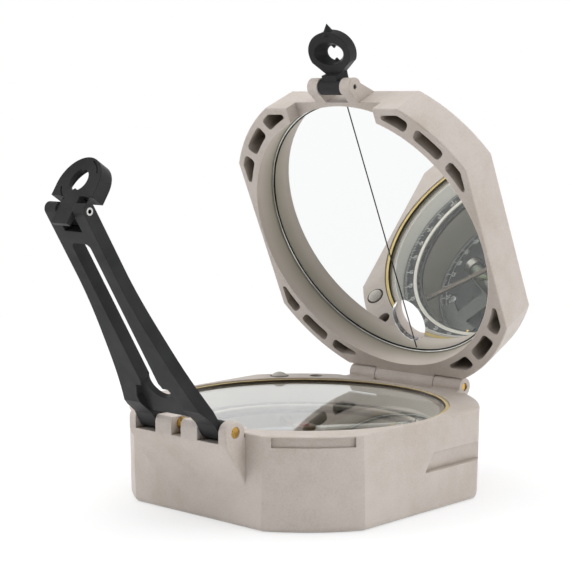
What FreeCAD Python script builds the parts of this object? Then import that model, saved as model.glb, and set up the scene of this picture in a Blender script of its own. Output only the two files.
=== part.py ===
"""Pocket transit: cast case with a compass and clinometer, mirror lid, sighting arm and two folding sights.

Millimetres. Z is up, the centre of the case bottom is the origin, X runs along the hinge pins and
the lid hinge is on the +Y side. Every piece is built in its place in the open, ready-to-sight position.
"""

import math
import os

import FreeCAD
import Part

V = FreeCAD.Vector
X_AXIS = V(1, 0, 0)
Y_AXIS = V(0, 1, 0)
Z_AXIS = V(0, 0, 1)
ORIGIN = V(0, 0, 0)

# clearances
RUN = 0.05  # radial gap of a turning pin
SIDE = 0.15  # gap beside a knuckle or a lug
FACE = 0.3  # gap between faces that pass each other
LOOSE = 0.4  # gap round a piece that swings free
BITE = 1.0  # how far one shape runs into another so that they join or cut cleanly

# case casting
CASE_W = 73.0  # across the flats, both ways
CASE_H = 21.5
CORNER_OUT = 5.6  # flat to the circle that cuts the four corners, at the rim
CORNER_DRAFT = 0.35  # how much smaller that circle is at the foot
FOOT_ROUND = 1.4  # round along the bottom edge
TOP_ROUND = 0.35  # round along the rim edge
RIM_WALL = 1.5  # flat to the rebate that takes the glass
SEAT_DEPTH = 2.15  # rim to glass seat
SEAT_W = 2.6
CHANNEL_W = 4.6  # pale inner wall to the collar inside the dial channel
COLLAR_RISE = 1.2
COLLAR_W = 0.8
FLOOR_T = 0.8
FOOT_DEPTH = 2.0  # recess under the floor for the outside lever
FOOT_R = 21.0

# grip recess in the front corners and mounting slots in the sides
GRIP_W = 18.4
GRIP_H = 2.1
GRIP_DEPTH = 0.6
SLOT_DROP = 12.05  # rim to the bottom of the slot
SLOT_H = 4.3
SLOT_DEEP = 1.5
SLOT_SHALLOW = 0.45
SLOT_START = 0.85
SLOT_RAKE = 2.75  # how far its closed end leans back over its height
RIM_HOLE_OUT = 3.45  # glass rebate to the middle of the post hole and of the brake button
POST_HOLE_R = 1.7
POST_HOLE_DEPTH = 8.0
POST_HOLE_ANGLE = 127.4

# sighting-arm hinge block on the case
ARM_PIN_OUT = 3.1  # pin centre beyond the flat
ARM_PIN_UP = 0.5  # pin centre above the rim
ARM_PIN_R = 1.3
BOSS_R = 3.0
BOSS_TOP = 2.5  # cheek top above the pin centre
BLOCK_HALF = 15.67
BLOCK_DROP = 11.3  # rim to where the block runs out on the flat
BLOCK_CORNER = 2.6  # rim to where the front and the underside would meet
BLOCK_NOSE_R = 3.0  # round between the front and the underside
BLOCK_FOOT_R = 4.0  # hollow round where the underside runs out on the flat
BLOCK_SINK = 0.02  # how far that round ends inside the flat
BLOCK_ROUND = 0.45  # round along the outer edges of the block
CHEEK_T = 2.32  # outer cheek
LUG_W = 5.25
GAP_HALF = 1.5  # half of the gap between the two middle lugs
NOTCH_DROP = 1.9  # rim to notch floor
LUG_TOP = 1.55  # middle lug top above pin centre

# lid hinge
LID_PIN_OUT = 3.7
LID_PIN_UP = 0.7
LID_PIN_R = 1.0
KNUCKLE_R = 2.2
KNUCKLE_HALF = 18.1
LID_KNUCKLE_HALF = 9.5
HINGE_DROP = 8.0

# lid
LID_T = 10.9
LID_ROUND = 0.75  # round along the back edge
LID_ANGLE = 65.7  # how far it stands open
LID_WALL = 1.0  # flat to the bore
MIRROR_DEPTH = 6.7  # lid face to mirror face
MIRROR_T = 1.6
MIRROR_GAP = 0.75  # mirror edge to the bore
GASKET_W = 0.65
SEAT_RELIEF = 0.02  # gap between the mirror parts of the lid
CLIP_R = 0.22  # wire of the spring ring that holds the mirror
WINDOW_IN = 8.5  # mirror edge to the middle of the window
WINDOW_A = 5.0
WINDOW_B = 6.1
LINE_W = 0.35
LINE_T = 0.05
LINE_END = 0.3  # mirror edge to the end of the line
LID_LIP = 1.1  # how far its hinge edge stands beyond the flat
POCKET_WALL = 1.65  # bore to pocket
POCKET_EDGE = 1.7  # outline to pocket
POCKET_DEPTH = 7.2
POCKET_ROUND = 1.1
POCKET_TIP_R = 0.65  # round at the thin end of an outer pocket
RIB_W = 2.3
RIB_ANGLE = 7.9  # from the middle of the corner to a rib between pockets, degrees
RELIEF_HALF = 13.7
RELIEF_H = 3.6
RELIEF_IN = 6.0

# ears and small sight on the free end of the lid
EAR_OUT = 3.9  # pin centre beyond the flat
EAR_UP = 4.0  # pin centre above the lid face
EAR_R = 2.2
EAR_W = 3.1
EAR_FRONT = 2.2  # ear front face below pin centre
EAR_ROOT = 0.8  # how far the ear and the hinge web run into the lid wall
WEB_RISE = 2.4  # web of the lid knuckle above its barrel, at the wall
SIGHT_PIN_R = 0.6
SIGHT_LEAN = 6.3  # how far the small sight leans back from the lid plane
SIGHT_BARREL_HALF = 3.45
SIGHT_BARREL_R = 1.95
SIGHT_UP = 8.1  # middle of the oval above the pin
SIGHT_A = 6.5  # oval, half across
SIGHT_B = 5.2  # oval, half along
SIGHT_T = 2.7
SIGHT_BACK = 0.65  # front face of the oval behind the pin centre
SIGHT_NECK_HALF = 2.3
SIGHT_NECK_UP = 3.1  # where the neck starts to spread
SIGHT_SPREAD = 26.0  # where its straight sides meet the oval, degrees below the middle
SIGHT_CUP_A = 4.7
SIGHT_CUP_B = 2.8
SIGHT_EYE_A = 2.6
SIGHT_EYE_B = 1.9
SIGHT_EYE_DROP = 0.5
SIGHT_WEB = 0.5  # thickness left round the eye
SIGHT_TOOTH = 0.7
SIGHT_TOOTH_HALF = 0.7
SIGHT_TIP_R = 1.25
SIGHT_TIP_H = 1.8

# sighting arm, measured along it from its pin
ARM_LEAN = 31.22  # how far it leans out from upright
ARM_LEN = 60.75
ARM_INNER = 0.8  # inner face, out from the pin centre
ARM_T = 3.0
ARM_BARREL_R = 2.2
ARM_TIP_HALF = 6.3
FLARE_UP_1 = 6.2  # points of its flared edge, up the arm and half across
FLARE_HALF_1 = 12.8
FLARE_UP_2 = 9.8
FLARE_HALF_2 = 11.6
FLARE_UP_3 = 16.5
FLARE_HALF_3 = 9.8
FLARE_UP_4 = 24.5
FLARE_HALF_4 = 8.3
FLARE_UP_5 = 33.0
FLARE_HALF_5 = 7.0
FLARE_UP_6 = 42.0
ARM_SLOT_DROP = 9.05  # arm end to the top of the sighting slot
ARM_SLOT_HALF = 2.82
ARM_SLOT_CORNER = 1.3
ARM_SLOT_LOW = 12.6  # centre of the rounded lower end
ARM_SLOT_LOW_R = 3.5
ARM_ARCH_LOW = 4.6
ARM_ARCH_TOP = 13.4
ARM_ARCH_CORNER = 1.8
ARM_WEB_T = 1.3
ARM_TOE_T = 1.45  # leg thickness left at the pin
ARM_TOE_FLAT = 3.4  # pin to the end of the thin toe
ARM_TOE_RUN = 8.0  # pin to where the leg has its full thickness
LEAF_PIN_IN = 1.67  # arm end to the leaf pin
LEAF_PIN_R = 0.85
LEAF_PIN_BORE = 0.45
CLEVIS_HALF = 2.75
CLEVIS_DEPTH = 4.3
CLEVIS_BACK = 0.7  # web left behind the tail of the leaf

# peep leaf, measured from its pin
LEAF_FOLD = 64.12  # folded in from straight
LEAF_FRONT = 1.2
LEAF_T = 3.4
LEAF_R = 6.5
LEAF_BASE = 2.75
LEAF_CENTRE = 5.55
LEAF_HOLE_UP = 6.6
LEAF_HOLE_R = 2.55
LEAF_WEB = 0.8  # plate left round the hole
LEAF_RIM = 0.8  # edge of the plate to the hollow behind it
LEAF_TOOTH = 0.55
LEAF_TOOTH_HALF = 0.7
LEAF_GROOVE_R = 4.7
LEAF_GROOVE_W = 0.35
LEAF_GROOVE_DEPTH = 0.25
LEAF_GROOVE_SWEEP = 24.0
LEAF_TAIL = 3.7
LEAF_TAIL_T = 1.1
LEAF_TONGUE_BACK = 1.25

# glass, gasket and bezel
SEAL_T = 0.3
SEAL_W = 1.4
GLASS_T = 1.0
BEZEL_T = 0.5
BEZEL_W = 0.95
BEZEL_SLOPE = 0.3
BEZEL_STEP = 0.15

# dial ring turned by a pinion
DIAL_TEETH = 80
PINION_TEETH = 8
GEAR_T = 1.7
DIAL_T = 0.4
TRIM_W = 0.95
TOOTH_DEPTH = 0.9
TOOTH_GAP = 1.5
PINION_ANGLE = 200.0
PINION_R = 3.7
PINION_ROOT_R = 2.45
PINION_TIP_W = 0.55
PINION_ROOT_W = 0.95
PINION_BITE = 0.7  # how far a tooth reaches into the dial gear
PINION_OUT = 0.95  # collar to the inner end of the teeth
PINION_LEN = 2.9
PINION_SHAFT_R = 1.3
PINION_SHAFT = 5.65  # teeth to the slotted end
BUSH_T = 1.3
HEAD_ACCESS_R = 3.1
DRIVER_SLOT_W = 0.7
DRIVER_SLOT_DEPTH = 0.9

# clinometer
PLATE_T = 0.5
PLATE_SCREW_IN = 4.7  # well wall to the plate screws
PLATE_SCREW_GRIP = 1.5  # how far their shanks reach into the floor
HUB_R = 1.6
HUB_BUSH_T = 1.0  # bush pressed on the hub, turning in the floor
FLANGE_R = 5.0
FLANGE_T = 0.8
BRACKET_T = 0.8
BRACKET_ANGLE = 125.0
BRACKET_HUB_R = 6.4
VERNIER_GAP = 1.6  # well wall to the vernier
VERNIER_W = 4.2
VERNIER_HALF = 19.0  # degrees
SPOKE_W = 5.0
TUBE_OFF = 9.6
TUBE_R = 2.3
TUBE_WALL = 0.45
TUBE_HALF = 11.0
TUBE_LIFT = 0.35
CAP_R = 2.6
CAP_LEN = 2.4
BUBBLE_R = 1.25
BUBBLE_HALF = 2.6
ROUND_OFF = 13.2
ROUND_R = 6.6
ROUND_H = 4.3
ROUND_WALL = 0.7
ROUND_GLASS_T = 0.6
ROUND_BUBBLE_R = 1.7
BRACKET_SCREW_X = 3.7
BRACKET_SCREW_Y = -2.3
LEVER_T = 0.9
LEVER_LEN = 18.0
LEVER_HUB_R = 4.2
LEVER_W = 4.4
LEVER_GAP = 0.35

# screws
SCREW_HEAD_R = 1.25
SCREW_HEAD_T = 0.6
SCREW_SHANK_R = 0.6
CROSS_W = 0.35
CROSS_DEPTH = 0.3

# needle and its pivot
NEEDLE_RISE = 1.5  # channel floor to the needle
NEEDLE_T = 0.5
NEEDLE_GAP = 0.6  # needle tip to the well wall
NEEDLE_ROOT = 2.2
NEEDLE_ROOT_W = 3.4
NEEDLE_TIP_W = 0.7
NEEDLE_ANGLE = 56.0
NEEDLE_CAP_R = 2.8
NEEDLE_CAP_DROP = 0.4
NEEDLE_CAP_H = 1.5
JEWEL_R = 1.1
JEWEL_H = 1.8
JEWEL_CONE_R = 0.8
JEWEL_CONE_H = 1.15
PIVOT_R = 0.5
PIVOT_BASE_R = 1.2
PIVOT_TIP_LEN = 2.8  # slim upper part of the pivot
WEIGHT_AT = 14.0
WEIGHT_LEN = 1.8
WEIGHT_T = 0.3

# needle brake: button on the rim and lever under the needle
BUTTON_ANGLE = 142.0
BUTTON_R = 2.05
BUTTON_RISE = 1.1
BUTTON_HEAD_T = 0.5
BUTTON_STEM_R = 1.15
BUTTON_SINK = 1.2
BUTTON_TRAVEL = 0.8
BRAKE_OVER = 0.55  # level caps to the underside of the brake
BRAKE_UNDER = 1.5  # underside of the brake to the channel floor
BRAKE_T = 0.7
BRAKE_W = 1.3
BRAKE_BEYOND = 1.25  # lever end beyond the button centre
BRAKE_PIVOT_OUT = 1.0  # inner wall to the fulcrum pin
BRAKE_PIN_R = 0.45
BRAKE_PIN_HALF = 2.9
BRAKE_RING_R = 2.7
BRAKE_LIFT = 0.5  # brake ring to the needle cap
BRAKE_BAY = 1.6  # half width of the bay it passes through
INDEX_R = 0.3

# derived places, in plan
HALF = CASE_W / 2
CORNER_R = HALF + CORNER_OUT
RIM_R = HALF - RIM_WALL
WALL_R = RIM_R - SEAT_W
COLLAR_R = WALL_R - CHANNEL_W
WELL_R = COLLAR_R - COLLAR_W
LID_BORE_R = HALF - LID_WALL
MIRROR_R = LID_BORE_R - MIRROR_GAP
WINDOW_Y = MIRROR_R - WINDOW_IN
POST_HOLE_RHO = RIM_R + RIM_HOLE_OUT
BUTTON_RHO = RIM_R + RIM_HOLE_OUT
BRAKE_END = BUTTON_RHO + BRAKE_BEYOND
BRAKE_FULCRUM = WALL_R + BRAKE_PIVOT_OUT
PLATE_SCREW_RHO = WELL_R - PLATE_SCREW_IN
VERNIER_R = WELL_R - VERNIER_GAP
NEEDLE_LEN = WELL_R - NEEDLE_GAP
GEAR_IN = COLLAR_R + FACE
GEAR_OUT = WALL_R - FACE
PINION_IN = COLLAR_R + PINION_OUT
PINION_END = PINION_IN + PINION_LEN + PINION_SHAFT
POCKET_IN = PINION_IN - FACE
POCKET_OUT = PINION_IN + PINION_LEN + FACE
NOTCH_BACK = HALF + ARM_PIN_OUT - ARM_BARREL_R - LOOSE
NOTCH_IN = GAP_HALF + LUG_W
NOTCH_OUT = BLOCK_HALF - CHEEK_T
LEG_IN = NOTCH_IN + SIDE
LEG_OUT = NOTCH_OUT - SIDE
EAR_IN = SIGHT_BARREL_HALF + SIDE
HUB_BUSH_R = HUB_R + HUB_BUSH_T
HUB_BORE = HUB_BUSH_R + RUN

# derived places, in height
FLOOR_Z = FOOT_DEPTH + FLOOR_T
PLATE_Z = FLOOR_Z + PLATE_T
FLANGE_Z = PLATE_Z + FACE
BRACKET_Z = FLANGE_Z + FLANGE_T
SEAT_ON_BRACKET = BRACKET_Z + BRACKET_T
TUBE_Z = SEAT_ON_BRACKET + TUBE_LIFT + TUBE_R
BRAKE_Z = TUBE_Z + CAP_R + BRAKE_OVER
CHANNEL_Z = BRAKE_Z + BRAKE_UNDER
COLLAR_Z = CHANNEL_Z + COLLAR_RISE
GEAR_Z = CHANNEL_Z + SIDE + RUN
DIAL_Z = GEAR_Z + GEAR_T
PINION_Z = GEAR_Z + PINION_BITE - PINION_R
NEEDLE_Z = CHANNEL_Z + NEEDLE_RISE
JEWEL_Z = NEEDLE_Z - NEEDLE_CAP_DROP
PIVOT_BASE_TOP = NEEDLE_Z - PIVOT_TIP_LEN
BRAKE_RING_TOP = JEWEL_Z - BRAKE_LIFT
SEAT_Z = CASE_H - SEAT_DEPTH
GLASS_Z = SEAT_Z + SEAL_T
BEZEL_Z = GLASS_Z + GLASS_T
NOTCH_Z = CASE_H - NOTCH_DROP
SLOT_Z = CASE_H - SLOT_DROP
LEVER_Z = FOOT_DEPTH - LEVER_GAP - LEVER_T
LID_Z = CASE_H + FACE  # lid face when shut
LID_TOP = LID_Z + LID_T
MIRROR_Z = LID_Z + MIRROR_DEPTH

# flared edge of the arm, from its legs to the straight part
ARM_FLARE = ((FLARE_UP_1, FLARE_HALF_1), (FLARE_UP_2, FLARE_HALF_2), (FLARE_UP_3, FLARE_HALF_3))
ARM_FLARE += ((FLARE_UP_4, FLARE_HALF_4), (FLARE_UP_5, FLARE_HALF_5), (FLARE_UP_6, ARM_TIP_HALF))

# pins
ARM_PIN = V(0, -HALF - ARM_PIN_OUT, CASE_H + ARM_PIN_UP)
LID_PIN = V(0, HALF + LID_PIN_OUT, CASE_H + LID_PIN_UP)
SIGHT_PIN = V(0, -HALF - EAR_OUT, LID_Z + EAR_UP)
LEAF_PIN_ALONG = ARM_LEN - LEAF_PIN_IN
LEAF_PIN = V(0, -ARM_INNER - ARM_T / 2, LEAF_PIN_ALONG)  # in the upright arm
BIG = 200.0


def put(shape, name):
    """Write one piece as a STEP file."""
    if shape.ShapeType == "Compound" and len(shape.Solids) == 1:
        shape = shape.Solids[0]
    shape.exportStep(os.path.join("parts", name + ".step"))


def block(x0, x1, y0, y1, z0, z1):
    """Box between two corners."""
    return Part.makeBox(x1 - x0, y1 - y0, z1 - z0, V(x0, y0, z0))


def rod(radius, x0, x1, centre):
    """Cylinder along X through a centre point."""
    return Part.makeCylinder(radius, x1 - x0, V(x0, centre.y, centre.z), X_AXIS)


def disc(radius, z0, z1, x=0.0, y=0.0):
    """Upright cylinder."""
    return Part.makeCylinder(radius, z1 - z0, V(x, y, z0))


def ring(outer, inner, z0, z1, x=0.0, y=0.0):
    """Upright ring."""
    return disc(outer, z0, z1, x, y).cut(disc(inner, z0 - 1, z1 + 1, x, y))


def prism_x(points, x0, x1):
    """Closed (y, z) outline carried from x0 to x1."""
    corners = [V(x0, y, z) for y, z in points]
    face = Part.Face(Part.makePolygon(corners + corners[:1]))
    return face.extrude(V(x1 - x0, 0, 0))


def prism_y(points, y0, y1):
    """Closed (x, z) outline carried from y0 to y1."""
    corners = [V(x, y0, z) for x, z in points]
    face = Part.Face(Part.makePolygon(corners + corners[:1]))
    return face.extrude(V(0, y1 - y0, 0))


def prism_z(points, z0, z1):
    """Closed (x, y) outline carried from z0 to z1."""
    corners = [V(x, y, z0) for x, y in points]
    face = Part.Face(Part.makePolygon(corners + corners[:1]))
    return face.extrude(V(0, 0, z1 - z0))


def lathe(points):
    """Closed (radius, z) outline turned about Z."""
    corners = [V(r, 0, z) for r, z in points]
    face = Part.Face(Part.makePolygon(corners + corners[:1]))
    return face.revolve(ORIGIN, Z_AXIS, 360)


def turned(shape, centre, axis, angle):
    """A copy of a shape turned about a line, degrees."""
    out = shape.copy()
    out.rotate(centre, axis, angle)
    return out


def mirrored(shape):
    """The shape joined to its mirror image across the YZ plane."""
    return shape.fuse(shape.mirror(ORIGIN, X_AXIS))


def plan(z0, z1, foot, lip):
    """Square plan with a lip on its back flat and corners cut by a circle, drawn in at the foot."""
    square = block(-HALF, HALF, -HALF, HALF + lip, z0, z1)
    low = CORNER_R - CORNER_DRAFT * (foot == z0)
    high = CORNER_R - CORNER_DRAFT * (foot == z1)
    return square.common(Part.makeCone(low, high, z1 - z0, V(0, 0, z0)))


def rounding(corner, before, after, radius):
    """Arc that rounds a corner between the directions of two other points."""
    back = (before - corner).normalize()
    ahead = (after - corner).normalize()
    half = back.getAngle(ahead) / 2
    reach = radius / math.tan(half)
    middle = (back + ahead).normalize() * (radius / math.sin(half) - radius)
    return Part.Arc(corner + back * reach, corner + middle, corner + ahead * reach).toShape()


def edges_at(shape, z):
    """Outline edges lying at one height on the outside of the plan."""
    found = []
    for edge in shape.Edges:
        box = edge.BoundBox
        if abs(box.ZMin - z) < 1e-6 and abs(box.ZMax - z) < 1e-6:
            found.append(edge)
    return found


def opened(shape):
    """A lid piece carried from shut to standing open."""
    return turned(shape, LID_PIN, X_AXIS, -LID_ANGLE)


def leaned(shape):
    """An arm piece carried from upright to leaning out."""
    return turned(shape, ARM_PIN, X_AXIS, ARM_LEAN)


def screw(x, y, z, shank):
    """Small cross-head screw standing at (x, y) with its head resting at z."""
    head = disc(SCREW_HEAD_R, z, z + SCREW_HEAD_T, x, y)
    top = z + SCREW_HEAD_T
    arm = SCREW_HEAD_R * 0.7
    for dx, dy in ((arm, CROSS_W / 2), (CROSS_W / 2, arm)):
        head = head.cut(block(x - dx, x + dx, y - dy, y + dy, top - CROSS_DEPTH, top + 1))
    return head.fuse(disc(SCREW_SHANK_R, z - shank, z, x, y)).removeSplitter()


# ---------------------------------------------------------------- case


def cavity():
    """Stepped round hollow of the case, open at the rim."""
    top = CASE_H + 1
    steps = [(0, FLOOR_Z), (WELL_R, FLOOR_Z), (WELL_R, COLLAR_Z), (COLLAR_R, COLLAR_Z)]
    steps += [(COLLAR_R, CHANNEL_Z), (WALL_R, CHANNEL_Z), (WALL_R, SEAT_Z)]
    steps += [(RIM_R, SEAT_Z), (RIM_R, top), (0, top)]
    return lathe(steps)


def arm_block():
    """Hinge block for the sighting arm, with its cheeks, lugs and notches."""
    front = ARM_PIN.y - BOSS_R
    back = -HALF + BITE
    corner = V(-BLOCK_HALF, front, CASE_H - BLOCK_CORNER)
    foot = V(-BLOCK_HALF, -HALF + BLOCK_SINK, CASE_H - BLOCK_DROP)
    nose = rounding(corner, corner + Z_AXIS, foot, BLOCK_NOSE_R)
    hollow = rounding(foot, corner, foot - Z_AXIS, BLOCK_FOOT_R)
    under = [nose, Part.makeLine(nose.Vertexes[1].Point, hollow.Vertexes[0].Point), hollow]
    low = hollow.Vertexes[1].Point
    cheek = V(-BLOCK_HALF, front, ARM_PIN.z)
    crown = V(-BLOCK_HALF, ARM_PIN.y, ARM_PIN.z + BOSS_TOP)
    rear = V(-BLOCK_HALF, ARM_PIN.y + BOSS_R, ARM_PIN.z)
    bend = math.sqrt(0.5)
    lead = V(-BLOCK_HALF, ARM_PIN.y - BOSS_R * bend, ARM_PIN.z + BOSS_TOP * bend)
    trail = V(-BLOCK_HALF, ARM_PIN.y + BOSS_R * bend, ARM_PIN.z + BOSS_TOP * bend)
    top = Part.BSplineCurve()
    top.interpolate([cheek, lead, crown, trail, rear])
    low_rear = V(-BLOCK_HALF, rear.y, CASE_H - BITE)
    shut = [rear, low_rear, V(-BLOCK_HALF, back, low_rear.z), V(-BLOCK_HALF, back, low.z), low]
    front_edge = Part.makeLine(nose.Vertexes[0].Point, cheek)
    edges = Part.__sortEdges__(under + [front_edge, top.toShape()] + Part.makePolygon(shut).Edges)
    body = Part.Face(Part.Wire(edges)).extrude(V(2 * BLOCK_HALF, 0, 0))
    outer = []
    for edge in body.Edges:
        box = edge.BoundBox
        if box.XLength < RUN and box.YMax < rear.y + RUN and box.YMin < -HALF - RUN:
            outer.append(edge)
    body = body.makeFillet(BLOCK_ROUND, outer)
    lug_top = ARM_PIN.z + LUG_TOP
    body = body.cut(block(-NOTCH_OUT, NOTCH_OUT, -BIG, 0, lug_top, BIG))
    notch = block(NOTCH_IN, NOTCH_OUT, -BIG, -NOTCH_BACK, NOTCH_Z, BIG)
    body = body.cut(notch)
    body = body.cut(notch.mirror(ORIGIN, X_AXIS))
    body = body.cut(block(-GAP_HALF, GAP_HALF, -BIG, -NOTCH_BACK, NOTCH_Z, BIG))
    return body


def lid_lugs():
    """Outer knuckles of the lid hinge, running out on the back flat."""
    inner = LID_KNUCKLE_HALF + SIDE
    foot = (HALF, CASE_H - HINGE_DROP)
    nose = (LID_PIN.y + KNUCKLE_R * 0.8, LID_PIN.z - KNUCKLE_R * 0.6)
    outline = [(HALF - 1, foot[1]), foot, nose, (LID_PIN.y, LID_PIN.z), (HALF + 1, CASE_H - 0.01)]
    outline += [(HALF - 1, CASE_H - 0.01)]
    body = prism_x(outline, inner, KNUCKLE_HALF)
    body = body.fuse(rod(KNUCKLE_R, inner, KNUCKLE_HALF, LID_PIN))
    return mirrored(body)


def grip(angle):
    """Shallow grip recess at the top of one corner."""
    top = CASE_H - TOP_ROUND
    cut = block(0, BIG, -GRIP_W / 2, GRIP_W / 2, top - GRIP_H, top)
    cut = cut.cut(disc(CORNER_R - GRIP_DEPTH, 0, BIG))
    return turned(cut, ORIGIN, Z_AXIS, angle)


def side_slot():
    """Wedge-shaped mounting slot along one side, open at its back end, its closed end raked."""
    top = SLOT_Z + SLOT_H
    out = HALF + BITE
    section = [(out, SLOT_Z), (HALF - SLOT_DEEP, SLOT_Z), (HALF - SLOT_SHALLOW, top), (out, top)]
    corners = [V(x, SLOT_START, z) for x, z in section]
    cut = Part.Face(Part.makePolygon(corners + corners[:1])).extrude(V(0, BIG, 0))
    before = SLOT_START - BITE
    keep = [(before, SLOT_Z - BITE), (SLOT_START, SLOT_Z), (SLOT_START + SLOT_RAKE, top), (before, top)]
    return cut.cut(prism_x(keep, 0, BIG))


def pinion_bay():
    """Hollow for the dial pinion: tooth bay, bush bore and driver access."""
    half = PINION_R + LOOSE
    bay = block(POCKET_IN, POCKET_OUT, -half, half, PINION_Z - half, CHANNEL_Z + 1)
    centre = V(0, 0, PINION_Z)
    bore = rod(PINION_SHAFT_R + RUN + BUSH_T, POCKET_OUT - 1, PINION_END, centre)
    access = rod(HEAD_ACCESS_R, PINION_END, BIG, centre)
    return turned(bay.fuse([bore, access]), ORIGIN, Z_AXIS, PINION_ANGLE)


def brake_bay():
    """Hollow for the needle brake: lever bay, fulcrum bore and button bore."""
    low = BRAKE_Z - LOOSE
    high = BRAKE_Z + BRAKE_T + LOOSE
    bay = block(WELL_R - 1, COLLAR_R + 1, -BRAKE_BAY, BRAKE_BAY, low, high)
    bay = bay.fuse(block(COLLAR_R, BRAKE_END + LOOSE, -BRAKE_BAY, BRAKE_BAY, low, high))
    stem = disc(BUTTON_STEM_R + RUN, high - 1, CASE_H + 1, BUTTON_RHO)
    head = disc(BUTTON_R + RUN, CASE_H - BUTTON_SINK, CASE_H + 1, BUTTON_RHO)
    middle = V(BRAKE_FULCRUM, 0, BRAKE_Z + BRAKE_T / 2)
    pin = Part.makeCylinder(BRAKE_PIN_R, 2 * BRAKE_PIN_HALF, middle - Y_AXIS * BRAKE_PIN_HALF, Y_AXIS)
    return turned(bay.fuse([stem, head, pin]), ORIGIN, Z_AXIS, BUTTON_ANGLE)


def polar(rho, angle):
    """Plan point at a radius and an angle in degrees."""
    return rho * math.cos(math.radians(angle)), rho * math.sin(math.radians(angle))


def case_body():
    """The case casting with every hollow and hinge lug."""
    body = plan(0, CASE_H, 0, 0)
    body = body.makeFillet(FOOT_ROUND, edges_at(body, 0))
    body = body.makeFillet(TOP_ROUND, edges_at(body, CASE_H))
    body = body.fuse([arm_block(), lid_lugs()])
    body = body.cut(cavity())
    body = body.cut(disc(FOOT_R, -1, FLOOR_Z + 1))
    body = body.cut(rod(ARM_PIN_R, -BLOCK_HALF, BLOCK_HALF, ARM_PIN))
    body = body.cut(rod(LID_PIN_R, -KNUCKLE_HALF, KNUCKLE_HALF, LID_PIN))
    for angle in (-45, -135):
        body = body.cut(grip(angle))
    slot = side_slot()
    body = body.cut(slot)
    body = body.cut(slot.mirror(ORIGIN, X_AXIS))
    body = body.cut([pinion_bay(), brake_bay()])
    x, y = polar(POST_HOLE_RHO, POST_HOLE_ANGLE)
    body = body.cut(disc(POST_HOLE_R, CASE_H - POST_HOLE_DEPTH, CASE_H + 1, x, y))
    x, y = polar((WELL_R + COLLAR_R) / 2, 90)
    body = body.cut(disc(INDEX_R, COLLAR_Z - 1, COLLAR_Z + 1, x, y))
    for step in range(3):
        x, y = polar(PLATE_SCREW_RHO, 30 + 120 * step)
        body = body.cut(disc(SCREW_SHANK_R, FLOOR_Z - PLATE_SCREW_GRIP - LOOSE, FLOOR_Z + BITE, x, y))
    return body.removeSplitter()


def case_trim():
    """Pins, plate, pinion bush and screws fixed in the case."""
    put(rod(ARM_PIN_R, -BLOCK_HALF + FACE, BLOCK_HALF - FACE, ARM_PIN), "arm_hinge_pin")
    put(rod(LID_PIN_R, -KNUCKLE_HALF + FACE, KNUCKLE_HALF - FACE, LID_PIN), "lid_hinge_pin")
    plate = ring(WELL_R - FACE, HUB_BORE, FLOOR_Z, PLATE_Z)
    for step in range(3):
        x, y = polar(PLATE_SCREW_RHO, 30 + 120 * step)
        plate = plate.cut(disc(SCREW_SHANK_R, 0, BIG, x, y))
        put(screw(x, y, PLATE_Z, PLATE_T + PLATE_SCREW_GRIP), "plate_screw_%d" % (step + 1))
    put(plate, "scale_plate")
    centre = V(0, 0, PINION_Z)
    bore = PINION_SHAFT_R + RUN
    bush = rod(bore + BUSH_T, POCKET_OUT, PINION_END - FACE, centre)
    bush = bush.cut(rod(bore, 0, BIG, centre))
    put(turned(bush, ORIGIN, Z_AXIS, PINION_ANGLE), "pinion_bush")
    x, y = polar((WELL_R + COLLAR_R) / 2, 90)
    put(disc(INDEX_R, COLLAR_Z - 1, DIAL_Z, x, y), "index_pin")
    middle = V(BRAKE_FULCRUM, 0, BRAKE_Z + BRAKE_T / 2)
    pin = Part.makeCylinder(BRAKE_PIN_R, 2 * BRAKE_PIN_HALF, middle - Y_AXIS * BRAKE_PIN_HALF, Y_AXIS)
    put(turned(pin, ORIGIN, Z_AXIS, BUTTON_ANGLE), "brake_pin")


def glazing():
    """Gasket, glass and brass bezel over the compass."""
    put(ring(RIM_R - RUN, RIM_R - SEAL_W, SEAT_Z, GLASS_Z), "glass_gasket")
    put(disc(RIM_R - LOOSE, GLASS_Z, BEZEL_Z), "glass_crystal")
    outer = RIM_R - RUN
    inner = outer - BEZEL_W
    top = BEZEL_Z + BEZEL_T
    outline = [(outer, BEZEL_Z), (outer, top - BEZEL_STEP), (outer - BEZEL_STEP, top)]
    outline += [(inner, top), (inner - BEZEL_SLOPE, BEZEL_Z)]
    put(lathe(outline), "bezel_ring")


# ---------------------------------------------------------------- dial and pinion


def dial():
    """Toothed carrier ring, graduated ring and pale inner trim."""
    gear = ring(GEAR_OUT, GEAR_IN, GEAR_Z, DIAL_Z)
    half = TOOTH_GAP / 2
    cutter = block(GEAR_IN - 1, GEAR_OUT + 1, -half, half, GEAR_Z - 1, GEAR_Z + TOOTH_DEPTH)
    cutters = []
    for tooth in range(DIAL_TEETH):
        cutters.append(turned(cutter, ORIGIN, Z_AXIS, PINION_ANGLE + tooth * 360.0 / DIAL_TEETH))
    put(gear.cut(cutters), "dial_gear")
    put(ring(GEAR_OUT, GEAR_IN + TRIM_W, DIAL_Z, DIAL_Z + DIAL_T), "dial_ring")
    put(ring(GEAR_IN + TRIM_W, GEAR_IN, DIAL_Z, DIAL_Z + DIAL_T), "dial_trim")


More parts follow.
